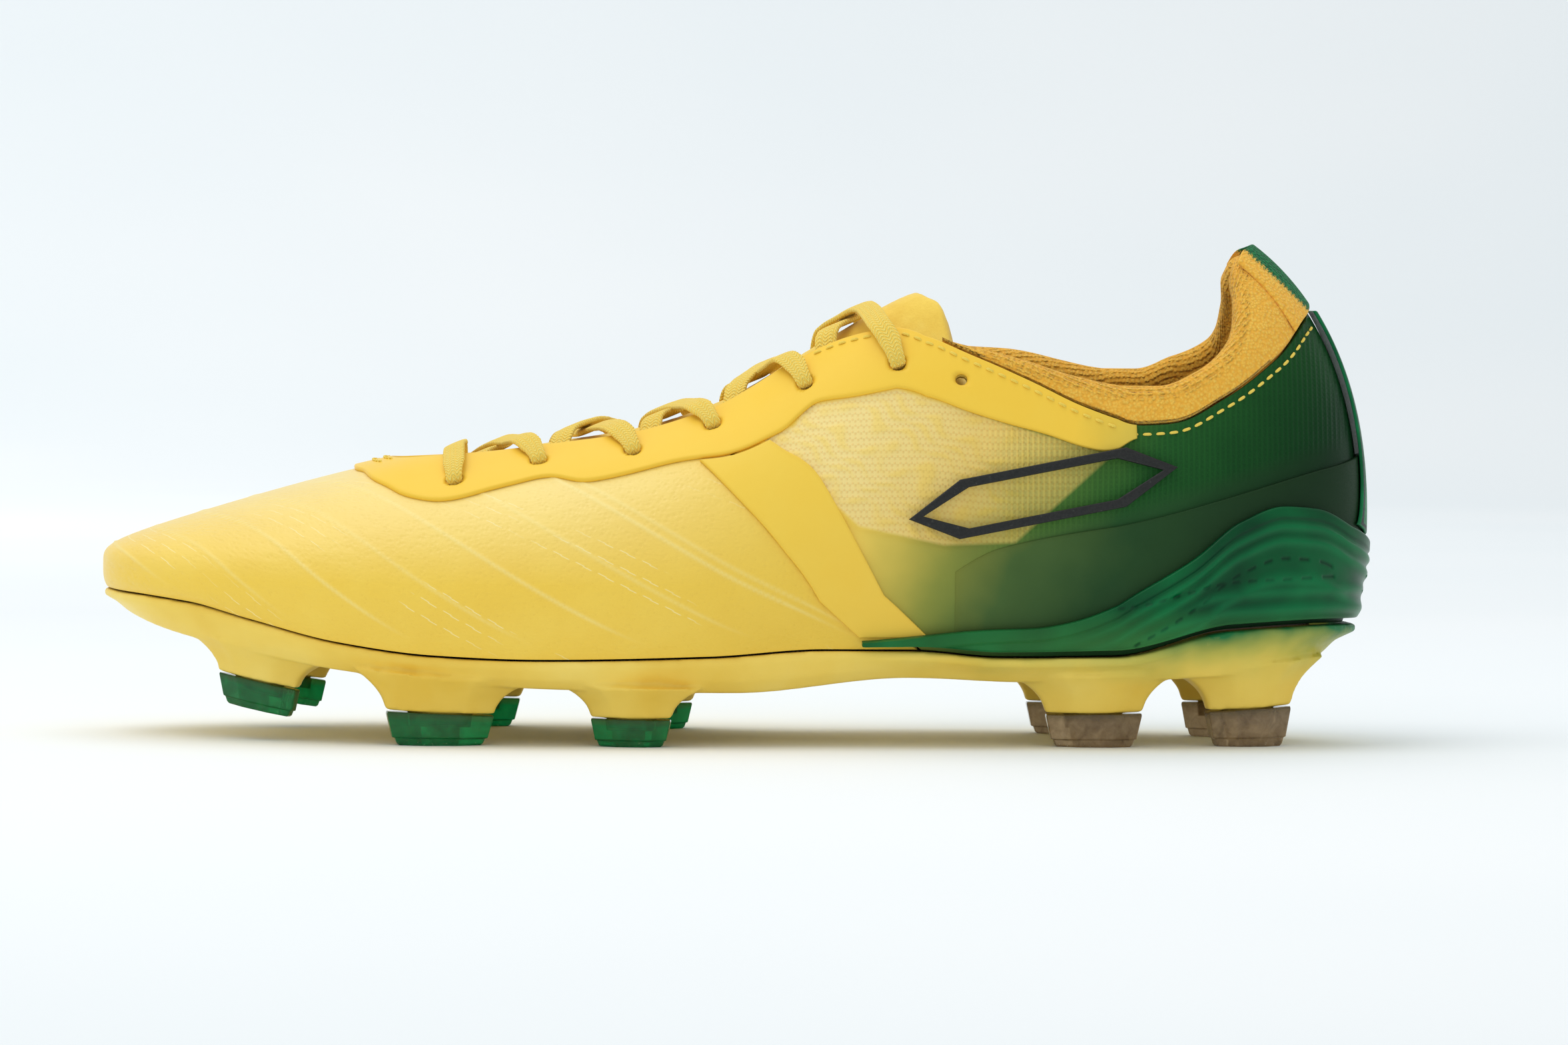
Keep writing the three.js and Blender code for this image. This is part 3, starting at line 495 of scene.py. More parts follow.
def shell(name, place, nu, nv, layer, material, relief=None, round_off=0.35, holes=(), **facts):
    """Closed patch between two layers, with a rounded rim and round holes, placed by lap and angle."""
    probe_a, probe_b = np.meshgrid(np.linspace(0, 1, 40), np.linspace(0, 1, 12), indexing="ij")
    probe = section(*place(probe_a, probe_b))
    length_u = np.linalg.norm(np.diff(probe, axis=0), axis=-1).sum(0).mean()
    length_v = np.linalg.norm(np.diff(probe, axis=1), axis=-1).sum(1).mean()
    a, b = np.meshgrid(spaced(nu, length_u, round_off), spaced(nv, length_v, round_off), indexing="ij")
    g, angle = place(a, b)
    edge = np.minimum(np.minimum(a, 1 - a) * length_u, np.minimum(b, 1 - b) * length_v)
    base, up = section(g, angle), normal(g, angle)
    v = height_up(g, angle)
    rows, columns = a.shape
    count = rows * columns
    faces = grid_faces(rows, columns)
    mouth = np.full(count, 99.0)
    for centre, axis, size in holes:
        flat = base.reshape(-1, 3) - centre
        flat = flat - (flat @ axis)[:, None] * axis
        far = np.linalg.norm(flat, axis=1)
        near = np.abs((base.reshape(-1, 3) - centre) @ axis) < 6
        mouth = np.minimum(mouth, np.where(near, far - size, 99.0))
        gone = (far[faces].mean(1) < size) & near[faces].all(1)
        kept = faces[~gone]
        rim = np.intersect1d(kept.ravel(), faces[gone].ravel())
        if len(rim):
            move = flat[rim] * (size / np.maximum(far[rim], 1e-6) - 1)[:, None]
            base.reshape(-1, 3)[rim] += move
            mouth[rim] = 0
        faces = kept
    edge = np.minimum(edge, np.maximum(mouth.reshape(rows, columns), 0))
    s = np.clip(edge, 0, round_off)
    drop = round_off - np.sqrt(np.maximum(round_off ** 2 - (round_off - s) ** 2, 0))
    rise, extra = (0, {}) if relief is None else relief(base, v, g, edge)
    outer = base + up * (layer[1] - drop + rise)[..., None]
    inner = base + up * layer[0]
    edges = np.concatenate([faces[:, [k, (k + 1) % 4]] for k in range(4)])
    key, twin = edges[:, 0] * count + edges[:, 1], edges[:, 1] * count + edges[:, 0]
    open_edges = edges[~np.isin(key, twin)]
    p, q = open_edges[:, 0], open_edges[:, 1]
    walls = np.stack([q, p, p + count, q + count], -1)
    verts = np.concatenate([outer.reshape(-1, 3), inner.reshape(-1, 3)])
    faces = np.concatenate([faces, faces[:, ::-1] + count, walls])
    used, back = np.unique(faces.ravel(), return_inverse=True)
    faces = outward(verts[used], back.reshape(-1, 4))
    uv = np.tile(np.stack([base[..., 0], v], -1).reshape(-1, 2), (2, 1))[used]
    extra = {key: np.tile(np.broadcast_to(value, a.shape).ravel(), 2)[used] for key, value in extra.items()}
    extra["edge_mm"] = np.tile(edge.ravel(), 2)[used]
    return mesh_object(name, verts[used], faces, material, uv, extra, **facts)


def ring_solid(name, rings, material, uv=None, closed_path=False, extra=None, **facts):
    """Rings of points, each a closed loop, swept into a closed solid with fan caps."""
    rings = np.asarray(rings, float)
    n, m = rings.shape[:2]
    verts = rings.reshape(-1, 3)
    faces = grid_faces(n, m, 0, closed_path, True)
    uv = None if uv is None else np.asarray(uv, float).reshape(-1, 2)
    extra = dict(extra or {})
    if not closed_path:
        verts = np.concatenate([verts, rings[0].mean(0, keepdims=True), rings[-1].mean(0, keepdims=True)])
        j = np.arange(m)
        k = (j + 1) % m
        first = np.stack([j, k, np.full(m, n * m)], -1)
        last = np.stack([(n - 1) * m + k, (n - 1) * m + j, np.full(m, n * m + 1)], -1)
        if uv is not None:
            uv = np.concatenate([uv, uv[:1], uv[-1:]])
        extra = {key: np.append(np.ravel(v), [0, 0]) for key, v in extra.items()}
        turn = outward(verts, faces)
        flip = not np.array_equal(turn, faces)
        tri = np.concatenate([faces[:, [0, 1, 2]], faces[:, [0, 2, 3]], first, last])
        tri = tri[:, ::-1] if flip else tri
        return mesh_object(name, verts, tri, material, uv, extra, **facts)
    return mesh_object(name, verts, outward(verts, faces), material, uv, extra, **facts)


# ---------------------------------------------------------------- colours and shared looks

def srgb(r, g, b):
    return tuple(c / 255 / 12.92 if c < 11 else ((c / 255 + 0.055) / 1.055) ** 2.4 for c in (r, g, b))


YELLOW = srgb(247, 208, 76)
FILM_YELLOW = srgb(250, 208, 76)
ORANGE_KNIT = srgb(255, 210, 94)
ORANGE_DEEP = srgb(246, 182, 66)
KNIT_GREEN = srgb(12, 132, 72)
TPU_GREEN = srgb(0, 98, 50)
TPU_DARK = srgb(0, 62, 32)
FOREST = srgb(28, 66, 32)
FOREST_DEEP = srgb(14, 46, 22)
MESH_PALE = srgb(250, 226, 150)
BLACK = srgb(18, 19, 19)


def faded(sh, x, z, stops, drift=0.6, level=45.0, start=10.0, end=120.0):
    """Colour that turns from yellow at the front to dark green at the heel along a slanted front."""
    wobble = sh.noise(sh.mm()[3], 0.06, 2)
    place = sh.math("MULTIPLY_ADD", z, -drift, sh.plus(x, drift * level))
    place = sh.plus(place, sh.fit(wobble, 0.3, 0.7, -3, 3))
    return sh.ramp(sh.fit(place, start, end), stops)


QUARTER_FADE = [(0, YELLOW), (0.13, srgb(240, 208, 96)), (0.25, srgb(200, 182, 82)),
                (0.36, srgb(140, 146, 66)), (0.5, srgb(76, 108, 54)), (0.66, srgb(40, 84, 42)),
                (0.82, FOREST), (1, FOREST_DEEP)]


def leather_material():
    sh = Shader("grained leather")
    x, _, z, _ = sh.mm()
    u, v, _, flat = sh.flat()
    tone = sh.noise(flat, 0.05, 3)
    base = sh.ramp(tone, [(0.2, srgb(244, 203, 70)), (0.5, YELLOW), (0.8, srgb(249, 213, 84))])
    along = sh.math("SUBTRACT", sh.times(u, 0.885), sh.times(v, 0.466))
    across = sh.plus(sh.times(u, 0.466), sh.times(v, 0.885))
    shifted = sh.plus(along, sh.times(sh.math("FLOOR", sh.math("DIVIDE", across, 3.4)), 1.9))
    dash = sh.times(sh.stripe(across, 3.4, 0.34, 0.1), sh.stripe(shifted, 5.6, 2.1, 0.2))
    field = sh.fit(sh.noise(flat, 0.035, 1), 0.47, 0.55)
    band = sh.fit(sh.wave(across, 27.0), 0.55, 0.8)
    dash = sh.times(dash, sh.times(field, band))
    base = sh.blend(sh.times(dash, 0.75), base, srgb(255, 240, 176))
    # Painted sheen: the upper front of the vamp is blended towards pale yellow, standing in for the whitish
    # sheen that light from above puts on its top.
    crown = sh.times(sh.fit(z, 36, 58, 0, 0.45), sh.fit(x, 20, -35))
    base = sh.blend(crown, base, srgb(255, 240, 176))
    # Painted highlight: the raised ridges are blended towards pale yellow, as if they caught the light.
    ridge = sh.attribute("ridge")
    base = sh.blend(sh.times(ridge, 0.45), base, srgb(255, 238, 160))
    darker = [(0, (1, 1, 1)), (0.6, (0.93, 0.92, 0.82)), (1, (0.62, 0.68, 0.42))]
    rear = faded(sh, x, z, darker, start=-20, end=75)
    base = sh.blend(1.0, base, rear, "MULTIPLY")
    grain = sh.cells(flat, 0.85)
    fine = sh.noise(flat, 1.7, 4, 0.6)
    crease = sh.noise(sh.join(sh.times(u, 0.16), sh.times(v, 0.5)), 1.0, 4, 0.6, 0.4)
    pores = sh.fit(grain, 0.05, 0.55)
    base = sh.blend(sh.fit(pores, 0, 0.35, 0.12, 0), base, srgb(214, 160, 50))
    sh.set(Base_Color=base, Roughness=sh.fit(fine, 0.3, 0.7, 0.36, 0.5), Specular_IOR_Level=0.42)
    sh.set(Sheen_Weight=0.2, Sheen_Roughness=0.4)
    sh.bump(crease, 0.35, 0.5)
    sh.bump(pores, 0.09, 0.75)
    sh.bump(fine, 0.05, 0.6)
    return sh.material


def film_material(name, stops, rough=0.3):
    sh = Shader(name)
    x, _, z, _ = sh.mm()
    _, _, _, flat = sh.flat()
    base = faded(sh, x, z, stops)
    tone = sh.noise(flat, 0.09, 3)
    base = sh.blend(sh.fit(tone, 0.35, 0.65, 0, 0.12), base, srgb(255, 238, 160), "MULTIPLY")
    # Painted shade: the film is darkened within about a millimetre of its rim, where its edge and the thin
    # gap under it fall into shade.
    edge = sh.fit(sh.attribute("edge_mm"), 0.25, 1.1, 1, 0)
    base = sh.tint(sh.times(edge, 0.22), base, (0.85, 0.78, 0.6))
    fine = sh.noise(flat, 2.6, 3, 0.6)
    sh.set(Base_Color=base, Roughness=sh.fit(fine, 0.3, 0.7, rough, rough + 0.12))
    sh.set(Specular_IOR_Level=0.12)
    sh.bump(fine, 0.03, 0.5)
    sh.bump(sh.noise(flat, 0.16, 2), 0.3, 0.25)
    return sh.material


def quarter_material():
    """Film over mesh: a pale window with wavy relief in front, fine upright ribs behind."""
    sh = Shader("mesh under film")
    x, _, z, _ = sh.mm()
    u, v, _, flat = sh.flat()
    base = faded(sh, x, z, QUARTER_FADE)
    upper = sh.fit(sh.attribute("rib_mm"), -1.0, 3.0)
    rich = faded(sh, x, z, [(0, (1, 1, 1)), (0.5, (0.8, 1.0, 0.75)), (1, (0.25, 0.95, 0.7))])
    base = sh.blend(upper, base, sh.blend(1.0, base, rich, "MULTIPLY"))
    window = sh.fit(sh.attribute("window_mm"), -0.3, 0.5)
    pale = faded(sh, x, z, [(0, MESH_PALE), (0.3, srgb(236, 206, 118)), (0.42, srgb(196, 180, 96)),
                            (0.58, srgb(120, 132, 66)), (0.75, srgb(60, 96, 52)), (1, FOREST)])
    tick_row = sh.math("FLOOR", sh.math("DIVIDE", v, 1.5))
    tick_u = sh.plus(u, sh.times(sh.math("MODULO", tick_row, 2.0), 0.62))
    tick = sh.times(sh.stripe(tick_u, 1.25, 0.4, 0.14), sh.stripe(v, 1.5, 0.95, 0.2))
    wave = sh.attribute("wave")
    lit = sh.blend(sh.times(tick, 0.8), pale, sh.blend(1.0, pale, (0.97, 0.84, 0.74), "MULTIPLY"))
    lit = sh.blend(sh.times(wave, 0.7), lit, sh.blend(1.0, pale, (1.0, 0.93, 0.62), "MULTIPLY"))
    base = sh.blend(window, base, lit)
    rib = sh.stripe(u, 1.2, 0.55, 0.18)
    rung = sh.stripe(v, 1.1, 0.4, 0.15)
    net = sh.math("MAXIMUM", rib, sh.times(rung, 0.45))
    base = sh.tint(sh.times(sh.times(net, upper), 0.3), base, (1.9, 1.75, 1.5))
    weld = sh.attribute("weld")
    base = sh.tint(sh.times(weld, 0.3), base, (0.88, 0.76, 0.5))
    fine = sh.noise(flat, 2.2, 3, 0.6)
    sh.set(Base_Color=base, Roughness=sh.fit(fine, 0.3, 0.7, 0.34, 0.5), Specular_IOR_Level=0.1)
    sh.bump(sh.times(net, upper), 0.14, 0.8)
    sh.bump(sh.times(tick, window), 0.12, 0.8)
    sh.bump(fine, 0.035, 0.6)
    return sh.material


def knit_material(name, front, front_deep, back=None):
    """Terry knit: looped face, ribs along the folded edge, and a jagged change of yarn at the heel."""
    sh = Shader(name)
    x, _, z, vec = sh.mm()
    loops = sh.cells(vec, 1.35)
    fuzz = sh.noise(vec, 2.4, 4, 0.65)
    patch = sh.noise(vec, 0.22, 3)
    depth = sh.plus(sh.times(loops, 0.9), sh.times(fuzz, 0.5))
    base = sh.blend(sh.fit(depth, 0.35, 0.85), front, front_deep)
    base = sh.blend(sh.fit(patch, 0.35, 0.65, 0, 0.3), base, front_deep)
    if back is not None:
        side = sh.plus(sh.times(x, 0.683), sh.times(z, 0.73))
        run = sh.math("SUBTRACT", sh.times(x, 0.73), sh.times(z, 0.683))
        teeth = sh.math("PINGPONG", sh.plus(run, sh.fit(fuzz, 0.2, 0.8, -0.9, 0.9)), 0.6)
        side = sh.plus(side, sh.fit(teeth, 0, 0.6, -0.5, 0.5))
        mask = sh.fit(side, 160.3, 160.9)
        base = sh.blend(mask, base, sh.blend(sh.fit(depth, 0.35, 0.85), back, srgb(4, 92, 50)))
    # Painted shade: the folded edge is darkened in the grooves between its ribs, where the rib bump below
    # is lowest.
    rim = sh.attribute("rim")
    rib = sh.wave(sh.attribute("round_mm"), 1.35)
    base = sh.tint(sh.times(sh.times(rib, rim), 0.4), base, (0.72, 0.62, 0.45))
    sh.set(Base_Color=base, Roughness=0.92, Specular_IOR_Level=0.08)
    sh.set(Sheen_Weight=0.12, Sheen_Roughness=0.5)
    sh.bump(sh.times(sh.math("SUBTRACT", 1.0, rib), rim), 0.35, 0.8)
    sh.bump(sh.math("SUBTRACT", 1.0, loops), 0.5, 0.8)
    sh.bump(fuzz, 0.22, 0.8)
    return sh.material


def tpu_material():
    sh = Shader("moulded green")
    x, _, z, vec = sh.mm()
    flat = sh.flat()[3]
    tone = sh.noise(vec, 0.05, 2)
    base = sh.ramp(tone, [(0.35, TPU_DARK), (0.55, TPU_GREEN), (0.75, srgb(8, 128, 70))])
    rear = sh.fit(x, 60, 135, 0, 0.5)
    base = sh.blend(rear, base, srgb(6, 66, 38))
    low = sh.times(sh.fit(z, 32, 24), sh.fit(x, 30, 90, 0.3, 1))
    base = sh.blend(sh.times(low, 0.5), base, srgb(70, 128, 60))
    # Painted shade: darker green in the dashed grooves and in a line at the foot of the raised top band.
    groove = sh.attribute("groove")
    base = sh.blend(sh.times(groove, 0.75), base, srgb(2, 44, 26))
    # Painted highlight: lighter green on the crests of the contour ribs.
    crest = sh.attribute("crest")
    base = sh.blend(sh.times(crest, 0.25), base, srgb(26, 152, 90))
    scuff = sh.fit(sh.noise(flat, 0.8, 4, 0.7), 0.62, 0.75)
    sh.set(Base_Color=base, Roughness=sh.fit(scuff, 0, 1, 0.3, 0.45), Specular_IOR_Level=0.14)
    sh.bump(sh.noise(flat, 1.6, 3), 0.03, 0.5)
    return sh.material


def plate_material():
    sh = Shader("moulded yellow")
    x, _, z, vec = sh.mm()
    tone = sh.noise(vec, 0.04, 3)
    yellows = [(0.3, srgb(240, 200, 78)), (0.55, srgb(248, 214, 98)), (0.8, srgb(252, 224, 118))]
    base = sh.ramp(tone, yellows)
    climb = sh.fit(sh.plus(z, sh.fit(sh.noise(vec, 0.07, 2), 0.3, 0.7, -2, 2)), 13, 27)
    heel = sh.fit(x, 18, 66)
    green = sh.times(sh.math("POWER", climb, 1.3), heel)
    base = sh.blend(green, base, sh.ramp(green, [(0, srgb(206, 196, 84)), (0.45, srgb(120, 158, 66)),
                                                 (1, srgb(24, 112, 58))]))
    fine = sh.noise(vec, 1.5, 3)
    dust = sh.fit(sh.noise(vec, 0.5, 5, 0.7), 0.6, 0.8)
    base = sh.blend(sh.times(dust, 0.2), base, srgb(226, 190, 100))
    sh.set(Base_Color=base, Roughness=sh.fit(fine, 0.3, 0.7, 0.34, 0.48), Specular_IOR_Level=0.25)
    sh.bump(fine, 0.05, 0.5)
    return sh.material


def stud_material(name, colour, deep):
    """Clear moulding over the core: darker and olive where the core stands behind it."""
    sh = Shader(name)
    vec = sh.mm()[3]
    t = sh.attribute("drop")
    swirl = sh.noise(vec, 0.35, 3, 0.6, 0.5)
    base = sh.ramp(swirl, [(0.3, deep), (0.7, colour)])
    band = sh.times(sh.fit(t, 0.62, 0.5), 0.75)
    base = sh.blend(band, base, srgb(70, 92, 30) if "green" in name else srgb(96, 82, 40))
    wear = sh.fit(sh.noise(vec, 1.2, 4, 0.7), 0.58, 0.72)
    tip = sh.times(wear, sh.fit(t, 0.85, 1.0))
    base = sh.blend(sh.times(tip, 0.35), base, srgb(170, 170, 150))
    sh.set(Base_Color=base, Roughness=sh.fit(tip, 0, 1, 0.12, 0.45), Specular_IOR_Level=0.3)
    sh.bsdf.inputs["Transmission Weight"].default_value = 0.55
    sh.bsdf.inputs["IOR"].default_value = 1.46
    sh.bump(sh.noise(vec, 0.5, 3), 0.15, 0.4)
    return sh.material


def lace_material():
    """Flat braid: two rows of slanted picks that meet in a chevron."""
    sh = Shader("flat braid")
    u, v, _, flat = sh.flat()
    chevron = sh.plus(u, sh.times(sh.math("PINGPONG", v, 1.25), 0.9))
    pick = sh.wave(chevron, 0.95)
    row = sh.stripe(sh.plus(v, 0.625), 1.25, 0.2, 0.15)
    fuzz = sh.noise(flat, 3.0, 3)
    weave = sh.times(pick, sh.math("SUBTRACT", 1.0, sh.times(row, 0.8)))
    base = sh.blend(weave, srgb(250, 206, 76), srgb(255, 230, 116))
    base = sh.blend(sh.fit(fuzz, 0.4, 0.7, 0, 0.12), base, srgb(255, 240, 160))
    sh.set(Base_Color=base, Roughness=0.75, Specular_IOR_Level=0.25)
    sh.set(Sheen_Weight=0.1, Sheen_Roughness=0.45)
    sh.bump(weave, 0.28, 0.9)
    sh.bump(fuzz, 0.06, 0.6)
    return sh.material


def cloth_material(name, colour, deep, scale=1.0, rough=0.85):
    """Plain woven or felted sheet."""
    sh = Shader(name)
    x, y, z, vec = sh.mm()
    warp = sh.wave(x, 0.9 * scale)
    weft = sh.wave(sh.plus(y, z), 0.9 * scale)
    weave = sh.times(warp, weft)
    fuzz = sh.noise(vec, 2.2, 4, 0.65)
    base = sh.blend(sh.plus(sh.times(weave, 0.5), sh.times(fuzz, 0.5)), deep, colour)
    sh.set(Base_Color=base, Roughness=rough, Specular_IOR_Level=0.2, Sheen_Weight=0.15)
    sh.bump(weave, 0.15, 0.7)
    sh.bump(fuzz, 0.1, 0.6)
    return sh.material


def tongue_material():
    sh = Shader("soft microfibre")
    vec = sh.mm()[3]
    tone = sh.noise(vec, 0.09, 3)
    yellows = [(0.3, srgb(240, 198, 72)), (0.55, srgb(252, 216, 92)), (0.8, srgb(255, 228, 116))]
    base = sh.ramp(tone, yellows)
    suede = sh.noise(vec, 1.9, 5, 0.7)
    base = sh.blend(sh.fit(suede, 0.3, 0.7, 0.18, 0), base, srgb(206, 152, 40))
    sh.set(Base_Color=base, Roughness=0.72, Specular_IOR_Level=0.25)
    sh.set(Sheen_Weight=0.25, Sheen_Roughness=0.4)
    sh.bump(sh.noise(vec, 0.3, 3), 0.5, 0.4)
    sh.bump(suede, 0.12, 0.7)
    return sh.material


def mark_material():
    sh = Shader("raised dark print")
    vec = sh.mm()[3]
    fine = sh.noise(vec, 1.8, 4)
    base = sh.blend(fine, BLACK, srgb(48, 49, 48))
    worn = sh.fit(sh.noise(vec, 0.7, 5, 0.75), 0.6, 0.72)
    base = sh.blend(sh.times(worn, 0.35), base, srgb(110, 110, 104))
    sh.set(Base_Color=base, Roughness=sh.fit(fine, 0.3, 0.7, 0.3, 0.45), Specular_IOR_Level=0.25)
    sh.bump(fine, 0.04, 0.6)
    return sh.material


def backstay_material():
    sh = Shader("heel strip")
    vec = sh.mm()[3]
    edge = sh.times(sh.fit(sh.attribute("edge_mm"), 0.35, 0.5, 0, 1),
                   sh.fit(sh.attribute("edge_mm"), 1.2, 1.5, 1, 0))
    tone = sh.noise(vec, 0.1, 3)
    base = sh.ramp(tone, [(0.3, srgb(4, 84, 46)), (0.7, srgb(14, 124, 70))])
    base = sh.blend(edge, base, BLACK)
    fine = sh.noise(vec, 1.8, 3)
    sh.set(Base_Color=base, Roughness=sh.fit(fine, 0.3, 0.7, 0.34, 0.5), Specular_IOR_Level=0.14)
    sh.bump(fine, 0.05, 0.6)
    return sh.material


def thread_material(name, colour):
    sh = Shader(name)
    x, y, z, _ = sh.mm()
    twist = sh.wave(sh.plus(sh.plus(x, y), z), 0.35)
    base = sh.blend(twist, sh.blend(1.0, colour, (0.9, 0.87, 0.8), "MULTIPLY"), colour)
    sh.set(Base_Color=base, Roughness=0.6, Specular_IOR_Level=0.2, Sheen_Weight=0.1)
    sh.bump(twist, 0.08, 0.7)
    return sh.material


LEATHER = leather_material()
QUARTER = quarter_material()
FILM = film_material("yellow film", [(0, FILM_YELLOW), (0.45, FILM_YELLOW), (0.62, srgb(214, 190, 80)),
                                     (0.8, srgb(120, 134, 60)), (1, srgb(52, 90, 48))])
BAND = film_material("smooth band", [(0, srgb(248, 210, 84)), (0.5, srgb(240, 200, 80)),
                                     (1, srgb(190, 170, 70))])
GREEN_FILM = film_material("matte film", [(0, YELLOW), (0.12, srgb(236, 202, 88)),
                                          (0.24, srgb(194, 178, 80)), (0.36, srgb(132, 138, 62)),
                                          (0.5, srgb(72, 100, 52)),
                                          (0.7, srgb(36, 70, 36)), (1, srgb(20, 48, 24))], 0.44)
KNIT = knit_material("terry knit", ORANGE_KNIT, ORANGE_DEEP, KNIT_GREEN)
TPU = tpu_material()
PLATE = plate_material()
GREEN_STUD = stud_material("green clear stud", srgb(4, 150, 76), srgb(0, 106, 48))
SMOKE_STUD = stud_material("smoke clear stud", srgb(196, 168, 128), srgb(146, 120, 86))
LACE = lace_material()
LINING = cloth_material("lining textile", srgb(240, 184, 76), srgb(206, 144, 50))
BOARD = cloth_material("fibre board", srgb(208, 200, 176), srgb(168, 158, 132), 1.6)
STIFF = cloth_material("stiff sheet", srgb(222, 214, 190), srgb(188, 178, 150), 1.2)
FOAM = cloth_material("brushed textile", srgb(66, 72, 68), srgb(28, 32, 30), 1.1)
TONGUE = tongue_material()
MARK = mark_material()
BACKSTAY = backstay_material()
THREAD = thread_material("yellow thread", srgb(255, 224, 96))


# ---------------------------------------------------------------- upper

LAPS = np.linspace(-3, 3, 1801)


def edge_line(inset):
    """Quick edge angle by lap, for one inset or an inset given by station."""
    depth = inset(station(LAPS)[1]) if callable(inset) else np.full(LAPS.shape, float(inset))
    angles = edge_angle(LAPS, depth)[:-1]
    reach = 7
    ring = np.concatenate([angles[-reach:], angles, angles[:reach + 1]])
    angles = np.convolve(ring, np.full(2 * reach + 1, 1 / (2 * reach + 1)), "valid")
    return lambda g: np.interp(np.mod(g + 3, 6) - 3, LAPS, angles)


def height_line(height):
    """Quick section angle by lap at a height given by station."""
    angles = angle_at_height(LAPS, height(station(LAPS)[1]))
    return lambda g: np.interp(np.mod(g + 3, 6) - 3, LAPS, angles)


def vamp_end(b):
    return mix(1.66, 1.22, b)


def eyelet(side, k):
    x, lateral, medial = EYELETS[k]
    g, angle = on_side(side, x, medial if side > 0 else lateral)
    return float(g), float(angle)


def throat_at(x):
    x = np.asarray(x, float)
    ahead = THROAT_HALF * np.cbrt(np.maximum(0, 1 - (np.maximum(FORE_X - x, 0) / THROAT_REACH) ** 3))
    return np.where(x >= FORE_X, throat_half(x), ahead)


def eyelet_holes(side, size, spare=True):
    found = []
    spots = [eyelet(side, k) for k in range(len(EYELETS))]
    if spare:
        g, angle = on_side(side, *SPARE_EYELET)
        spots.append((float(g), float(angle)))
    for k, (g, angle) in enumerate(spots):
        axis = normal(np.array(g), np.array(angle))
        found.append((on_last(g, angle, 0.0), axis, size if k < len(EYELETS) else 1.35))
    return found


SIDES = {"lateral": -1, "medial": 1}
HOLES = {side: eyelet_holes(side, 1.75) for side in SIDES.values()}
EDGE = edge_line(0.0)
EDGE_IN = edge_line(0.2)

CREASES = (-118, -91, -64, -37, -13, 12, 33, 37)


def vamp_relief(base, v, g, edge):
    """Long thin ridges that run back and down from the crown to the sole."""
    x = base[..., 0]
    ridge = np.zeros(x.shape)
    for k, start in enumerate(CREASES):
        line = start - 2.1 * v + 0.011 * v * v
        across = (x - line) * 0.43
        fade = ease((v - 3) / 8) * ease((62 - v) / 14) * (0.7 if k % 2 else 1)
        ridge = np.maximum(ridge, np.exp(-(across / 0.33) ** 2) * fade)
    calm = ease(edge / 1.5)
    # The ridge share also drives a painted highlight on the ridges in the leather material.
    return 0.2 * ridge * calm, {"ridge": ridge}


def vamp_place(a, b):
    end = vamp_end(b) - 0.002
    g = mix(-end, end, a)
    return g, mix(SEAM, EDGE(g), b)


shell("vamp_leather", vamp_place, 700, 110, (-1.6, 0), LEATHER, vamp_relief, 0.4,
      holes=HOLES[-1] + HOLES[1], slot="leather_yellow", stands_for=["vamp"])

WINDOW = [(5.9, 68.5), (12.8, 71.6), (15.5, 76), (35.7, 80), (60.2, 72.5), (84, 66), (62, 46), (46, 45.4),
          (27, 49.5)]


def polygon_distance(x, z, corners):
    """Signed distance to a closed outline in the side plane, positive inside."""
    far, inside = np.full(x.shape, 1e9), np.zeros(x.shape, bool)
    for (x0, z0), (x1, z1) in zip(corners, corners[1:] + corners[:1]):
        dx, dz = x1 - x0, z1 - z0
        t = np.clip(((x - x0) * dx + (z - z0) * dz) / (dx * dx + dz * dz), 0, 1)
        far = np.minimum(far, np.hypot(x - x0 - t * dx, z - z0 - t * dz))
        crosses = (z0 > z) != (z1 > z)
        inside ^= crosses & (x < dx * (z - z0) / (dz if dz else 1e-9) + x0)
    return np.where(inside, far, -far)


def quarter_relief(base, v, g, edge):
    """A sunk window with wandering ridges, a welded line round it, and the ribbed mesh behind."""
    x, z = base[..., 0], base[..., 2]
    window = polygon_distance(x, z, WINDOW)
    warp = 1.6 * np.sin(0.23 * x + 0.31 * z) + 1.1 * np.sin(0.61 * z - 0.37 * x + 1.2)
    phase = 0.62 * x + 1.05 * z + 1.5 * warp
    cross = 0.9 * x - 0.75 * z - 1.3 * warp
    wave = np.clip(0.5 + 0.5 * np.sin(phase * 1.15) + 0.25 * np.sin(cross * 0.7), 0, 1) ** 3
    inside = ease(window / 1.2) * ease((70 - x) / 14)
    weld = np.exp(-((window + 0.6) / 0.55) ** 2) * ease((64 - x) / 20)
    line = 44 + (x - 59) * 0.305
    rib = np.minimum((z - line), (x - 56) * 0.35)
    calm = ease(edge / 1.2)
    rise = (-0.22 * ease(window / 0.9) + 0.26 * wave * inside + 0.22 * weld) * calm
    return rise, {"window_mm": window, "wave": wave * inside, "weld": weld, "rib_mm": rib}


def sided(side, q):
    return q if side > 0 else 6 - q


def quarter_place(side):
    def place(a, b):
        g = sided(side, mix(vamp_end(b) + 0.004, 2.996, a))
        return g, mix(SEAM, EDGE(g), b)
    return place


eyestay_depth = curve([
    (0, 9), (0.39, 9.7), (0.66, 18), (0.75, 22), (0.81, 22.8), (0.93, 17.3), (1.03, 14.7), (1.08, 18),
    (1.23, 16), (1.38, 20), (1.44, 20.3), (1.47, 16.5), (1.54, 17.6), (1.62, 16.2), (1.72, 14.4),
    (1.81, 12.6), (1.89, 10.3), (1.98, 8.5), (2.05, 3),
])
EYESTAY_LOW = edge_line(eyestay_depth)


def eyestay_place(a, b):
    g = mix(-2.05, 2.05, a)
    return g, mix(EYESTAY_LOW(g), EDGE_IN(g), b)


shell("eyestay_film", eyestay_place, 820, 34, LAID, FILM, None, 0.5,
      holes=HOLES[-1] + HOLES[1], slot="film_yellow", stands_for=["eyestay"])

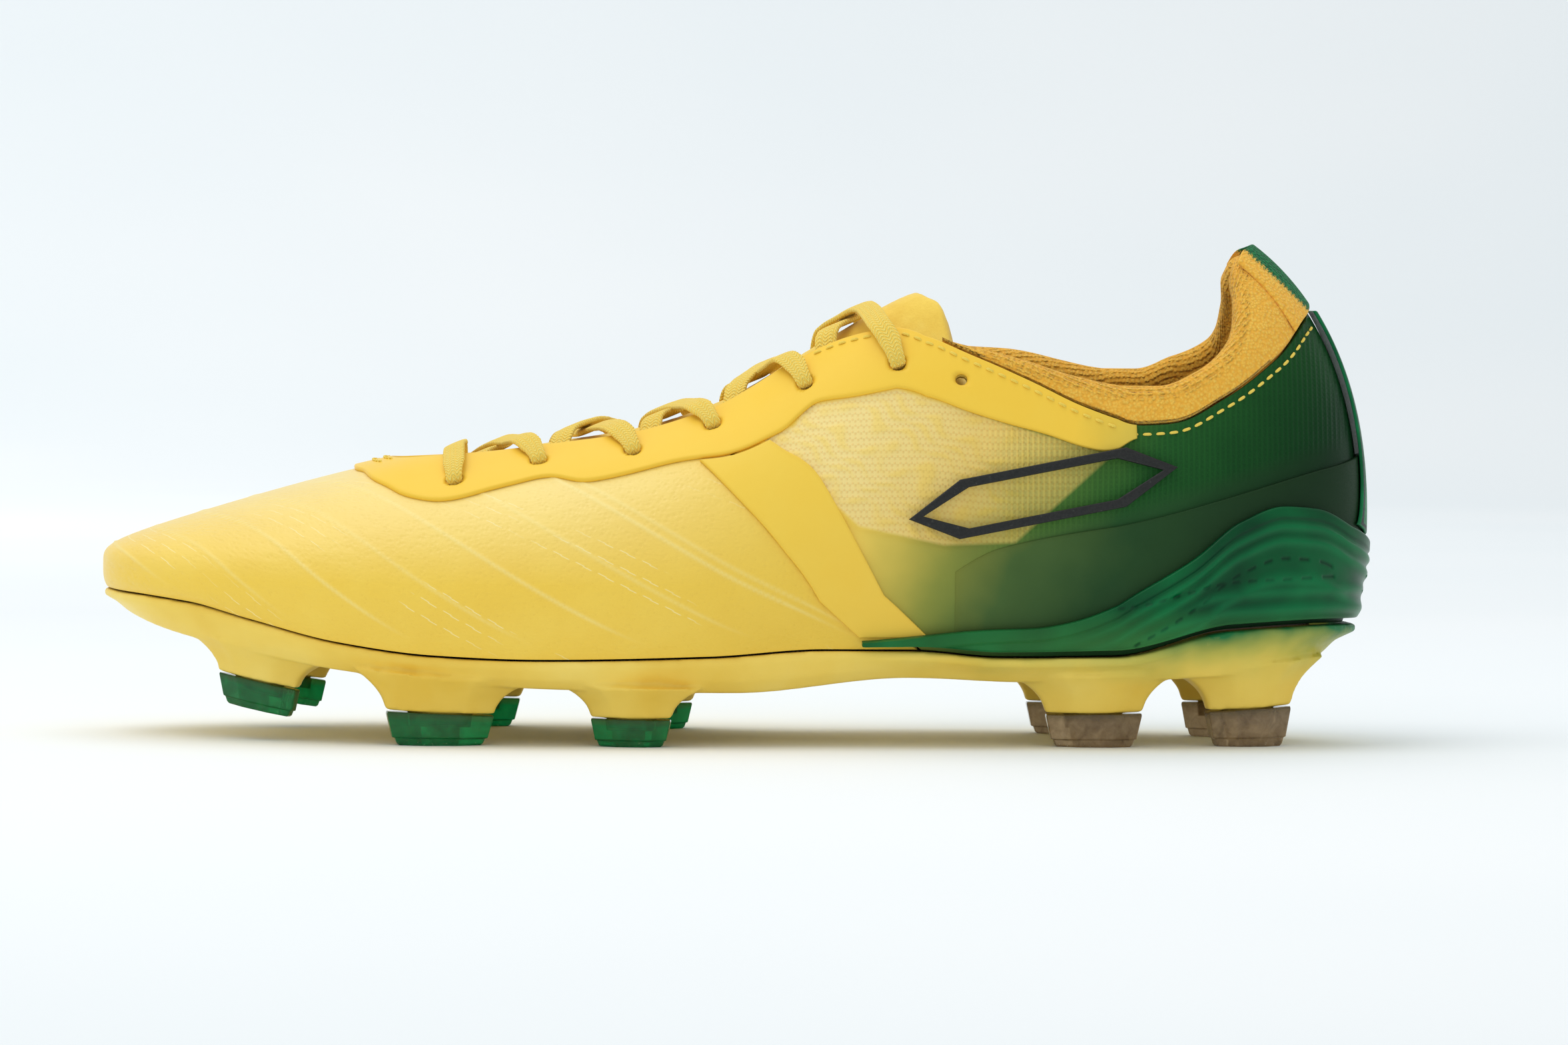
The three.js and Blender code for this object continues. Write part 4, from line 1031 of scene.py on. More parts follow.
BAND_LOW = height_line(lambda q: seam_z(q) + 3)
BAND_HIGH = edge_line(lambda q: eyestay_depth(q) + 0.8)
FILM_LOW = height_line(lambda q: seam_z(q) + 1.2)
film_top = curve([(1.62, 34), (1.8, 45), (2.1, 52), (2.6, 63), (3, 66)])
FILM_TOP = height_line(film_top)
facing_depth = curve([(0.6, 19), (0.85, 19.5), (1, 14), (1.3, 13.5), (1.47, 16), (1.54, 16)])
FACING_LOW, FACING_HIGH = edge_line(facing_depth), edge_line(2.8)


def band_place(side):
    def place(a, b):
        g = sided(side, vamp_end(mix(0.1, 0.72, b)) + mix(-0.06, 0.06, a))
        return g, mix(BAND_LOW(g), BAND_HIGH(g), b)
    return place


def film_place(side):
    def place(a, b):
        g = sided(side, mix(1.72, 2.93, a))
        return g, mix(FILM_LOW(g), FILM_TOP(g), b)
    return place


def facing_place(side):
    def place(a, b):
        g = sided(side, mix(0.6, 1.54, a))
        return g, mix(FACING_LOW(g), FACING_HIGH(g), b)
    return place


def film_relief(base, v, g, edge):
    """The film thins to nothing at its front end."""
    q = station(g)[1]
    return (LAID[1] - LAID[0] - 0.1) * (ease((q - 1.72) / 0.3) - 1), {}


for name, side in SIDES.items():
    shell("quarter_" + name + "_skin", quarter_place(side), 300, 130, (-1.6, 0), QUARTER, quarter_relief,
          0.4, holes=HOLES[side], slot="quarter_mesh", stands_for=["quarter_" + name])
    shell("band_" + name + "_film", band_place(side), 24, 90, LAID, BAND, None, 0.5,
          slot="film_yellow", stands_for=["band_" + name])
    shell("quarter_film_" + name + "_skin", film_place(side), 200, 70, LAID, GREEN_FILM, film_relief, 0.3,
          slot="film_green", stands_for=["quarter_film_" + name])
    shell("eyelet_facing_" + name + "_strip", facing_place(side), 160, 22, (-3.0, -2.4), STIFF, None, 0.25,
          holes=HOLES[side], slot="stiff_sheet", stands_for=["eyelet_facing_" + name])


def mark_rings(side):
    """Elongated six-sided outline with a rounded section."""
    corners = [(-1, 0), (-0.62, -1), (0.62, -1), (1, 0), (0.62, 1), (-0.62, 1)]
    centre, half_length, half_height, steps = (68, 57), 30, 6.5, 24
    u, v = [], []
    for i in range(len(corners)):
        (u0, v0), (u1, v1) = corners[i], corners[(i + 1) % len(corners)]
        t = np.arange(steps) / steps
        u.append(mix(u0, u1, t))
        v.append(mix(v0, v1, t))
    u, v = np.concatenate(u), np.concatenate(v)
    bead = [(0, 1.2), (0, 1.9), (0.12, 2.05), (0.35, 2.1), (1.65, 2.1), (1.88, 2.05), (2, 1.9), (2, 1.2)]
    rings = []
    for inset, out in bead:
        along = u * (half_length - 1.6 * inset)
        up = v * (half_height - inset) + 0.2 * along
        g, angle = on_side(side, centre[0] + along, centre[1] + up)
        rings.append(on_last(g, angle, out))
    return np.stack(rings, 1)


for name, side in SIDES.items():
    ring_solid("side_mark_" + name + "_print", mark_rings(side), MARK, closed_path=True,
               slot="mark_black", stands_for=["side_mark_" + name])


# ---------------------------------------------------------------- heel

cup_top = curve([
    (1.52, 24.5), (1.77, 27), (1.86, 27.5), (1.92, 28.8), (2.06, 36), (2.18, 42.6), (2.3, 51), (2.42, 54.5),
    (2.52, 54), (2.7, 49.6), (3, 46),
])
CUP_LOW = height_line(lambda q: seam_z(q) + 1.8)
CUP_TOP = height_line(cup_top)


def cup_place(a, b):
    g = mix(1.56, 4.44, a)
    return g, mix(CUP_LOW(g), CUP_TOP(g), b)


def cup_relief(base, v, g, edge):
    """Flowing contour ribs that follow the top edge, then the lower one, with two dashed grooves."""
    q = station(g)[1]
    top, low = cup_top(q), seam_z(q) + 1.8
    down, up = top - base[..., 2], base[..., 2] - low
    tall = ease((top - low - 3) / 12)
    crest, groove = np.zeros(q.shape), np.zeros(q.shape)
    rise = -0.55 * ease(down - 2.2)
    for at, width, lift in ((4.4, 1.0, 0.75), (7.6, 1.1, 0.7), (16.0, 1.6, 0.55)):
        bump = np.exp(-((down - at) / width) ** 2) * tall
        crest, rise = np.maximum(crest, bump), rise + lift * bump
    for at, width, lift in ((2.6, 1.3, 0.6), (6.4, 1.2, 0.45)):
        bump = np.exp(-((up - at) / width) ** 2) * tall * ease((down - 9) / 3)
        crest, rise = np.maximum(crest, bump), rise + lift * bump
    run = v * 0 + np.abs(base[..., 0] - 60) + np.abs(base[..., 1]) * 0.6
    dash = ease(0.5 + 3 * np.sin(run * 2 * math.pi / 3.0))
    for dist in (down - 11.4, up - 9.2):
        cut = np.exp(-(dist / 0.38) ** 2) * dash * tall
        groove, rise = np.maximum(groove, cut), rise - 0.35 * cut
    # This line at the foot of the raised top band is painted shade, kept with the grooves.
    groove = np.maximum(groove, np.exp(-((down - 2.6) / 0.45) ** 2) * 0.7 * tall)
    # crest carries a painted highlight onto the ribs, and groove carries painted shade into the cuts.
    return rise * ease(edge / 1.0), {"crest": crest, "groove": groove}


shell("heel_stabilizer_cup", cup_place, 640, 90, CUP, TPU, cup_relief, 0.6,
      slot="tpu_green", stands_for=["heel_stabilizer"])


def backstay_place(a, b):
    g = 3 + mix(-1, 1, a) * mix(0.26, 0.11, np.sqrt(b))
    return g, angle_at_height(g, mix(cup_top(station(g)[1]) + 1.4, 97.5, b))


shell("backstay_strip", backstay_place, 40, 90, RAISED, BACKSTAY, None, 0.5,
      slot="tpu_green", stands_for=["backstay"])


def counter_place(a, b):
    g = mix(2.1, 3.9, a)
    return g, angle_at_height(g, mix(31, 64, b))


def puff_place(a, b):
    return mix(-0.55, 0.55, a), mix(SEAM + 0.02, 1.0, b)


shell("heel_counter_shell", counter_place, 150, 40, (-3.1, -2.0), STIFF, None, 0.3,
      slot="stiff_sheet", stands_for=["heel_counter"])
shell("toe_puff_shell", puff_place, 150, 60, (-3.1, -2.0), STIFF, None, 0.3,
      slot="stiff_sheet", stands_for=["toe_puff"])


def padded_strip(name, laps, low_z, high_z, inner, outer, swell, material, **facts):
    """Stuffed band round the heel: a long section with a fully rounded top, swollen in the middle."""
    g = laps
    side, q = station(g)
    low, high = angle_at_height(g, low_z(q)), angle_at_height(g, high_z(q, side))
    thick = outer - inner
    r = thick / 2
    angles, length = arcs(g, low, high, 60)
    tall = length[:, -1]
    rings, uvs, rims, rounds = [], [], [], []
    for i in range(len(g)):
        t_side = np.linspace(0, 1, 26)[1:-1]
        turn = np.linspace(math.pi / 2, -math.pi / 2, 15)
        side = tall[i] - r
        s_out, o_out = t_side * side, np.full(t_side.shape, outer)
        s_cap, o_cap = side + r * np.cos(turn), (inner + outer) / 2 + r * np.sin(turn)
        s_in, o_in = t_side[::-1] * side, np.full(t_side.shape, inner)
        s_foot = np.array([0.5, 0.0, 0.0, 0.5])
        o_foot = np.array([inner, inner + 0.6, outer - 0.6, outer])
        s = np.concatenate([s_out, s_cap, s_in, s_foot])
        o = np.concatenate([o_out, o_cap, o_in, o_foot])
        bulge = swell * np.sin(np.clip(s / tall[i], 0, 1) * math.pi)
        o = np.where(o > (inner + outer) / 2, o + bulge, o - bulge * 0.6)
        a = np.interp(s, length[i], angles[i])
        rings.append(on_last(np.full(s.shape, g[i]), a, o))
        loop = np.concatenate([[0], np.cumsum(np.linalg.norm(np.diff(rings[-1], axis=0), axis=1))])
        uvs.append(np.stack([rings[-1][:, 0], loop], -1))
        rims.append(ease((s - (tall[i] - 5.5)) / 2.0))
        rounds.append(loop)
    extra = {"rim": np.array(rims), "round_mm": np.array(rounds)}
    made = ring_solid(name, np.array(rings), material, np.array(uvs), extra=extra, **facts)
    return made


medial_rise = curve([(1.72, 0), (1.92, 3.5), (2.2, 3.5), (2.45, 0)])
collar_laps = np.linspace(1.7, 4.3, 420)
padded_strip("collar_knit", collar_laps, lambda q: quarter_top_z(q) + 0.4,
             lambda q, side: topline_z(q) + np.where(side > 0, medial_rise(q), 0), -6.0, 0.3, 0.5, KNIT,
             slot="knit_yellow", stands_for=["knit_collar"])
lining_laps = np.linspace(1.78, 4.22, 260)
padded_strip("heel_lining_pad", lining_laps, lambda q: 30 + 0 * q,
             lambda q, side: quarter_top_z(q) - 0.8, -5.6, -3.6, 0.15, LINING,
             slot="foam", stands_for=["heel_lining"])


def tab_place(a, b):
    g = 3 + mix(-0.36, 0.36, a)
    q = station(g)[1]
    return g, angle_at_height(g, mix(quarter_top_z(q) + 0.8, topline_z(q) - 0.2, b))


shell("heel_tab_knit", tab_place, 90, 50, (0.7, 1.5), KNIT, None, 0.5,
      slot="knit_green", stands_for=["heel_tab"])


# ---------------------------------------------------------------- stitching

def stitches(name, path, material, long=2.1, pitch=3.0, thick=0.34, slot=None):
    """Row of single stitches along a path: each a small spindle that dips at both ends."""
    path = np.asarray(path, float)
    steps = np.linalg.norm(np.diff(path[:, :3], axis=0), axis=1)
    run = np.concatenate([[0], np.cumsum(steps)])
    around = np.linspace(0, 2 * math.pi, 8, endpoint=False)
    t = np.linspace(-1, 1, 9)
    verts, faces = [], []
    up_all = path[:, 3:6]
    for centre in np.arange(pitch, run[-1] - pitch, pitch):
        s = centre + t * long / 2
        line = np.stack([np.interp(s, run, path[:, k]) for k in range(3)], -1)
        up = np.stack([np.interp(s, run, up_all[:, k]) for k in range(3)], -1)
        up /= np.linalg.norm(up, axis=1, keepdims=True)
        way = np.gradient(line, axis=0)
        way /= np.linalg.norm(way, axis=1, keepdims=True)
        side = np.cross(way, up)
        size = thick * np.sqrt(np.maximum(1 - t ** 4, 0.02))
        middle = line + up * (-0.35 * np.abs(t[:, None]) ** 3 + 0.2)
        ring = (middle[:, None] + side[:, None] * (np.cos(around)[None, :, None] * size[:, None, None])
                + up[:, None] * (np.sin(around)[None, :, None] * size[:, None, None] * 0.8))
        start = len(verts) * ring.shape[0] * 8
        verts.append(ring.reshape(-1, 3))
        body_faces = grid_faces(9, 8, start, False, True)
        ends = []
        for base, order in ((start, (0, 1, 2, 3, 4, 5, 6, 7)), (start + 64, (7, 6, 5, 4, 3, 2, 1, 0))):
            o = [base + k for k in order]
            ends += [[o[0], o[1], o[2], o[7]], [o[7], o[2], o[3], o[6]], [o[6], o[3], o[4], o[5]]]
        faces.append(np.concatenate([body_faces, np.array(ends)[:, ::-1]]))
    verts, faces = np.concatenate(verts), np.concatenate(faces)
    per = 9 * 8
    first = outward(verts[:per], faces[:len(faces) // (len(verts) // per)])
    if not np.array_equal(first, faces[:len(first)]):
        faces = faces[:, ::-1]
    return mesh_object(name, verts, faces, material, slot=slot)


def line_on(g, angle, out):
    p = on_last(g, angle, out)
    return np.concatenate([p, normal(g, angle)], -1)


EDGE_STITCH = edge_line(2.2)
for name, side in SIDES.items():
    g = sided(side, np.linspace(1.47, 2.86, 500))
    level = np.where(station(g)[1] < 2.0, OVERLAY[1], 0.0)
    line = line_on(g, EDGE_STITCH(g), level + 0.05)
    stitches("collar_stitches_" + name, line, THREAD, slot="film_yellow")
for k, inset in enumerate((2.0, 4.6)):
    g = np.linspace(-0.42, 0.42, 200)
    line = edge_line(inset)
    stitches("throat_stitches_%d" % (k + 1), line_on(g, line(g), OVERLAY[1] + 0.05), THREAD, 1.5, 2.1, 0.26,
             slot="film_yellow")


# ---------------------------------------------------------------- tongue

TONGUE_START, TONGUE_NOSE, TONGUE_END = -84.0, -60.0, 40.0
TONGUE_TUCK = (10.5, 6.5, 2.5)
tongue_depth = curve([(-84, 5.2), (-72, 7.5), (-56, 7), (-20, 6.8), (15, 6.8), (34, 7.6)])
tongue_bulge = curve([(-84, 0), (-76, 0.6), (-66, 2.4), (-45, 4.8), (15, 5.2), (40, 5.2)])
tongue_thick = curve([(-84, 1.6), (-72, 2.4), (-20, 3.4), (20, 6), (36, 6), (40, 3)])


def under_edge(x, side, distance, out):
    g, _ = over_plan(x, centre_y(x) + side * np.maximum(throat_at(x), 4))
    return on_last(g, edge_angle(g, distance), out)


def tongue_row(x, extra):
    swept = lambda t: x + 19 * t * t * max(0, (x - 5) / 35) ** 2
    out = lambda t: -tongue_depth(swept(t)) - extra
    rows = {}
    half = max(float(throat_at(x)), 6)
    for side in (-1, 1):
        row = []
        for i, tuck in enumerate(TONGUE_TUCK):
            t = 1 - 0.15 * i
            if x < TONGUE_NOSE:
                row.append(over_surface(x, centre_y(x) + side * (half + tuck * 0.9), out(t)))
            else:
                row.append(under_edge(swept(t), side, tuck, out(t)))
        for t in (0.6, 0.3):
            p = over_surface(swept(t), centre_y(x) + side * half * t, out(t))
            row.append(p + np.array([0, 0, tongue_bulge(x) * (1 - t * t)]))
        rows[side] = row if side < 0 else row[::-1]
    top = over_surface(x, centre_y(x) + 0.01, out(0)) + np.array([0, 0, tongue_bulge(x)])
    return np.array([p.reshape(3) for p in rows[-1] + [top] + rows[1]])


def apply_modifiers(made):
    bpy.context.view_layer.update()
    graph = bpy.context.evaluated_depsgraph_get()
    final = made.evaluated_get(graph)
    mesh = bpy.data.meshes.new_from_object(final, preserve_all_data_layers=True, depsgraph=graph)
    made.modifiers.clear()
    made.data = mesh
    for polygon in mesh.polygons:
        polygon.use_smooth = True


def tongue():
    rings = []
    for x in np.linspace(TONGUE_START, TONGUE_END, 53):
        rings.append(np.concatenate([tongue_row(x, 0), tongue_row(x, tongue_thick(x))[::-1]]))
    made = ring_solid("tongue_pad", rings, TONGUE, body="tongue", slot="knit_yellow", stands_for=["tongue"])
    smooth = made.modifiers.new("soften", "SUBSURF")
    smooth.levels = smooth.render_levels = 2
    apply_modifiers(made)


tongue()


# ---------------------------------------------------------------- lace

RUN_OUT = OVERLAY[1] + 0.5 + LACE_THICKNESS / 2
RUN_IN = FACING_INNER - 0.95 - LACE_THICKNESS / 2


def tongue_crown():
    """Height of the tongue's middle line by x, read where the surface really stands."""
    xs = np.linspace(TONGUE_START, TONGUE_END, 63)
    points = np.array([np.reshape(over_surface(x, centre_y(x) + 0.01, -tongue_depth(x)), 3) for x in xs])
    return points[:, 0], points[:, 2] + np.array([float(tongue_bulge(x)) for x in xs])


CROWN_X, CROWN_Z = tongue_crown()


def tongue_top(x):
    return float(np.interp(x, CROWN_X, CROWN_Z))


def crossing(side, k, over):
    start, end = EYELETS[k][0], EYELETS[k + 1][0]
    lift = LACE_THICKNESS / 2 + 0.5

    def on_tongue(t, share, extra):
        x = mix(start, end, t)
        return np.array([x, centre_y(x) + side * throat_at(x) * share, tongue_top(x) + lift + extra])

    return [
        on_last(*eyelet(side, k), RUN_IN),
        under_edge(mix(start, end, 0.12), side, 2, RUN_IN - 0.1),
        on_tongue(0.26, 0.55, 0.2),
        on_tongue(0.5, 0, LACE_THICKNESS + 0.5 if over else 0),
        on_tongue(0.66, -0.5, LACE_THICKNESS if over else 0.9),
        over_edge(mix(start, end, 0.84), -side, k + 1, 0.05, RUN_OUT + 0.7),
        over_edge(mix(start, end, 0.93), -side, k + 1, 0.5, RUN_OUT + 0.4),
        on_last(*eyelet(-side, k + 1), RUN_OUT - 0.7),
        on_last(*eyelet(-side, k + 1), -1.2),
    ]


def over_edge(x, side, k, share, out):
    edge = centre_y(x) + side * throat_at(x)
    return over_surface(x, mix(edge, on_last(*eyelet(side, k), 0.0)[1], share), out)


def lace_run(side):
    x = EYELETS[0][0]
    points = [over_edge(x, side, 0, share, RUN_OUT + 0.3) for share in (0, 0.35, 0.7)]
    points += [on_last(*eyelet(side, 0), RUN_OUT - 0.7), on_last(*eyelet(side, 0), -1.2)]
    at = side
    for k in range(len(EYELETS) - 1):
        points += crossing(at, k, side > 0)
        at = -at
    last = len(EYELETS) - 1
    points.append(on_last(*eyelet(at, last), RUN_IN))
    points += [under_edge(EYELETS[last][0] - back, at, 5.5, RUN_IN - 0.4) for back in (7, 13)]
    return [np.reshape(p, 3) for p in points]


def catmull_rom(points, steps):
    """Centripetal curve through the points, evenly by point."""
    points = np.array(points)
    padded = np.concatenate([[2 * points[0] - points[1]], points, [2 * points[-1] - points[-2]]])
    places = []
    for t in np.linspace(0, len(points) - 1, steps + 1):
        i = min(int(t), len(points) - 2)
        w = t - i
        p0, p1, p2, p3 = padded[i:i + 4]
        d0, d1, d2 = (max(np.linalg.norm(b - a), 1e-4) ** 0.5 for a, b in ((p0, p1), (p1, p2), (p2, p3)))
        m1 = ((p1 - p0) / d0 - (p2 - p0) / (d0 + d1) + (p2 - p1) / d1) * d1
        m2 = ((p2 - p1) / d1 - (p3 - p1) / (d1 + d2) + (p3 - p2) / d2) * d1
        square, cube = -3 * p1 + 3 * p2 - 2 * m1 - m2, 2 * p1 - 2 * p2 + m1 + m2
        places.append(p1 + m1 * w + square * w * w + cube * w ** 3)
    return np.array(places)


def lace():
    x = EYELETS[0][0]
    middle = np.array([x, centre_y(x), np.reshape(under_edge(x, 1, 1, RUN_OUT), 3)[2] + 1.2])
    line = catmull_rom(lace_run(-1)[::-1] + [middle] + lace_run(1), 1500)
    way = np.gradient(line, axis=0)
    way /= np.linalg.norm(way, axis=1, keepdims=True)
    along = np.array([1, 0, 0.42])
    along = along / np.linalg.norm(along)
    spots = [eyelet(side, k) for side in (-1, 1) for k in range(len(EYELETS))]
    mouths = np.array([np.reshape(on_last(*spot, -0.6), 3) for spot in spots])
    near = np.linalg.norm(line[:, None] - mouths[None], axis=-1).min(1)
    squeeze = mix(0.68, 1, np.minimum(1, near / 6) ** 2)
    wide = along - (way @ along)[:, None] * way
    wide /= np.linalg.norm(wide, axis=1, keepdims=True)
    thick = np.cross(way, wide)
    turn = np.linspace(0, 2 * math.pi, 28, endpoint=False)
    c, s = np.cos(turn), np.sin(turn)
    across = np.sign(c) * np.abs(c) ** 0.55 * LACE_WIDTH / 2
    up = np.sign(s) * np.abs(s) ** 0.62 * LACE_THICKNESS / 2
    run = np.concatenate([[0], np.cumsum(np.linalg.norm(np.diff(line, axis=0), axis=1))])
    ripple = 1 + 0.03 * np.sin(run * 2 * math.pi / 0.95)
    rings = (line[:, None] + wide[:, None] * (across[None, :] * (squeeze * ripple)[:, None])[..., None]
             + thick[:, None] * up[None, :, None])
    uv = np.stack(np.broadcast_arrays(run[:, None], across[None, :]), -1)
    ring_solid("shoelace_braid", rings, LACE, uv, slot="lace_yellow", stands_for=["shoelace"])


lace()


# ---------------------------------------------------------------- sole

STUDS = {
    "stud_tip_fore_lateral_1": (-106, -21, 21, 9, 13, -0.3),
    "stud_tip_fore_lateral_2": (-65.5, -33.5, 27.5, 9, 0, 0.12),
    "stud_tip_fore_lateral_3": (-23, -33.5, 20.5, 9, 0, -0.1),
    "stud_tip_fore_medial_1": (-102, 25, 21, 9, 13, 0.3),
    "stud_tip_fore_medial_2": (-59, 33, 25.5, 9, 0, -0.05),
    "stud_tip_fore_medial_3": (-17, 28, 20.5, 9, 0, 0.2),
    "stud_tip_heel_lateral_1": (81, -22, 25, 10, 0, 0),
    "stud_tip_heel_lateral_2": (116.5, -15.5, 22.5, 10, 0, 0.22),
    "stud_tip_heel_medial_1": (80, 22, 25, 10, 0, 0),
    "stud_tip_heel_medial_2": (114.5, 15.5, 22.5, 10, 0, -0.22),
}
STUD_TAPER, CORE_SHARE, CORE_DEPTH, TIP_START, STUD_GAP = 0.74, 0.55, 0.2, 0.5, 0.3
ROOT_FLARE, ROOT_LEVELS = 5.5, (-0.1, -0.02, 0.05, 0.12, 0.2, 0.3, 0.4)
STUD_BEVEL, PLATE_VOXEL = 0.3, 0.6


def stud_ring(stud, t, scale, out=0.0, flare=0.0):
    """Eight-sided section at a share t of the way down; flare widens it towards the plate."""
    x, y, length, width, height, turn = stud
    tilt = math.atan((underside_z(x + 1) - underside_z(x - 1)) / 2)
    root = float(underside_z(x))
    drop = height or root
    size = mix(1, STUD_TAPER, t) * scale
    a, b = length / 2 * size + out + flare, width / 2 * size + out + flare * 0.8
    cut = 0.42
    corners = [(-1, -cut), (-cut, -1), (cut, -1), (1, -cut), (1, cut), (cut, 1), (-cut, 1), (-1, cut)]
    corners = np.array(corners)
    lx = corners[:, 0] * a * math.cos(turn) - corners[:, 1] * b * math.sin(turn)
    ly = corners[:, 0] * a * math.sin(turn) + corners[:, 1] * b * math.cos(turn)
    level = math.tan(tilt) * lx * (1 if height else 1 - t)
    return np.stack([x + lx, y + ly, root + level - drop * t], -1)


def capped(rings):
    """Vertices and triangles of a stack of rings, closed at both ends by fans."""
    n, m = rings.shape[:2]
    ends = [rings[0].mean(0, keepdims=True), rings[-1].mean(0, keepdims=True)]
    verts = np.concatenate([rings.reshape(-1, 3)] + ends)
    j = np.arange(m)
    k = (j + 1) % m
    last = (n - 1) * m
    quads = grid_faces(n, m, 0, False, True)
    head = np.stack([k, j, np.full(m, n * m)], -1)
    foot = np.stack([last + j, last + k, np.full(m, n * m + 1)], -1)
    faces = np.concatenate([quads[:, [0, 1, 2]], quads[:, [0, 2, 3]], head, foot])
    return verts, outward(verts, faces)


def seam_plan(g, inset):
    ax, ay = axis_point(station(g)[1])
    p = section(g, SEAM)
    reach = np.hypot(p[..., 0] - ax, p[..., 1] - ay)
    t = (reach - inset) / reach
    return mix(ax, p[..., 0], t), mix(ay, p[..., 1], t)


def soft_rings(profile, stations=360):
    g = np.linspace(0, 6, stations, endpoint=False)
    return np.stack([np.stack([np.broadcast_to(c, g.shape) for c in point], -1) for point in profile(g)], 1)


rim_out = curve([(0, 0.6), (1.5, 0.6), (1.75, 3), (3, 3)])


def plate_profile(g):
    q = station(g)[1]
    axis = axis_point(q)
    low = lambda p: underside_z(p[0])
    rim = seam_z(q) - STUD_GAP
    inner, outer = seam_plan(g, 3.4), seam_plan(g, -rim_out(q))
    side, foot, half = seam_plan(g, 1.4), seam_plan(g, 4.5), seam_plan(g, 20)
    lip = seam_plan(g, 2.6)
    at = lambda p, z: (p[0], p[1], z)
    return [
        at(axis, low(axis) + 3), at(half, low(half) + 3), at(inner, np.minimum(low(inner) + 3, rim - 0.6)),
        at(lip, rim), at(outer, rim), at(outer, rim - 1.6), at(side, mix(low(side), rim, 0.35)),
        at(foot, low(foot)), at(half, low(half)), at(axis, low(axis)),
    ]


def plate():
    """The plate and the roots of its studs, grown together and faired into each other."""
    rings = soft_rings(plate_profile)
    verts, faces = [rings.reshape(-1, 3)], [grid_faces(*rings.shape[:2], 0, True, True)]
    faces[0] = outward(verts[0], faces[0])
    start = len(verts[0])
    for stud in STUDS.values():
        share = STUD_GAP / (stud[4] or float(underside_z(stud[0])))
        for levels in (
            [(t, 1, 0, ROOT_FLARE * max(0, 1 - (t + 0.1) / 0.5) ** 2) for t in ROOT_LEVELS]
            + [(TIP_START - share, 1, 0, 0)],
            [(0, CORE_SHARE, 0, 0), (TIP_START + CORE_DEPTH - share, CORE_SHARE, 0, 0)],
        ):
            points, tri = capped(np.array([stud_ring(stud, *level) for level in levels]))
            verts.append(points)
            faces.append(np.concatenate([tri, tri[:, 2:3]], 1) + start)
            start += len(points)
    made = bpy.data.meshes.new("plate")
    quads = [tuple(dict.fromkeys(f)) for f in np.concatenate(faces).tolist()]
    made.from_pydata((np.concatenate(verts) * MM).tolist(), [], quads)
    plate_object = bpy.data.objects.new("outsole_plate_body", made)
    bpy.context.scene.collection.objects.link(plate_object)
    remesh = plate_object.modifiers.new("grow", "REMESH")
    remesh.mode, remesh.voxel_size, remesh.adaptivity = "VOXEL", PLATE_VOXEL * MM, 0.0
    fair = plate_object.modifiers.new("fair", "SMOOTH")
    fair.factor, fair.iterations = 0.5, 8
    apply_modifiers(plate_object)
    plate_object.data.materials.clear()
    plate_object.data.materials.append(PLATE)
    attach(plate_object, "boot")
    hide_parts("outsole_plate")


plate()


def stud_tip(name, stud):
    """Clear tip: faceted, with a socket for the core and a small step at the foot."""
    levels = [
        (TIP_START + CORE_DEPTH, CORE_SHARE, STUD_GAP), (TIP_START, CORE_SHARE, STUD_GAP),
        (TIP_START, 0.98, 0), (TIP_START + 0.03, 1, 0), (0.86, 1, 0), (0.88, 1, 0), (0.89, 0.95, 0),
        (0.97, 0.93, 0), (1, 0.88, 0),
    ]
    rings = np.array([stud_ring(stud, *level) for level in levels])
    verts, tri = capped(rings)
    drop = np.append(np.repeat([level[0] for level in levels], rings.shape[1]), [levels[0][0], 1])
    fore = "fore" in name
    made = mesh_object(name + "_clear", verts, tri, GREEN_STUD if fore else SMOKE_STUD,
                       extra={"drop": drop}, slot="stud_green" if fore else "stud_smoke", stands_for=[name])
    bevel = made.modifiers.new("edge", "BEVEL")
    bevel.width, bevel.segments = STUD_BEVEL * MM, 2
    bevel.limit_method, bevel.angle_limit = "ANGLE", math.radians(18)
    apply_modifiers(made)
    for polygon in made.data.polygons:
        polygon.use_smooth = False


for name, stud in STUDS.items():
    stud_tip(name, stud)


def sole_layer(name, inset, bottom, thickness, material, body, slot, stands_for):
    """Flat layer inside the boot that follows the seam at an inset."""
    def profile(g):
        axis, edge = axis_point(station(g)[1]), seam_plan(g, inset)
        rim, half = seam_plan(g, inset + 0.5), seam_plan(g, 20)
        z = lambda p: underside_z(p[0]) + bottom
        at = lambda p, up: (p[0], p[1], z(p) + up)
        return [
            at(axis, 0), at(half, 0), at(rim, 0), at(edge, thickness * 0.25), at(edge, thickness * 0.75),
            at(rim, thickness), at(half, thickness), at(axis, thickness),
        ]
    rings = soft_rings(profile)
    return ring_solid(name, rings, material, None, True, body=body, slot=slot, stands_for=stands_for)


sole_layer("insole_board_sheet", 4.4, 3.3, 1.6, BOARD, "boot", "board", ["insole_board"])
sole_layer("sockliner_pad", 7.5, 5.6, 3.2, FOAM, "sockliner", "foam", ["sockliner"])


# ---------------------------------------------------------------- stage, light and camera

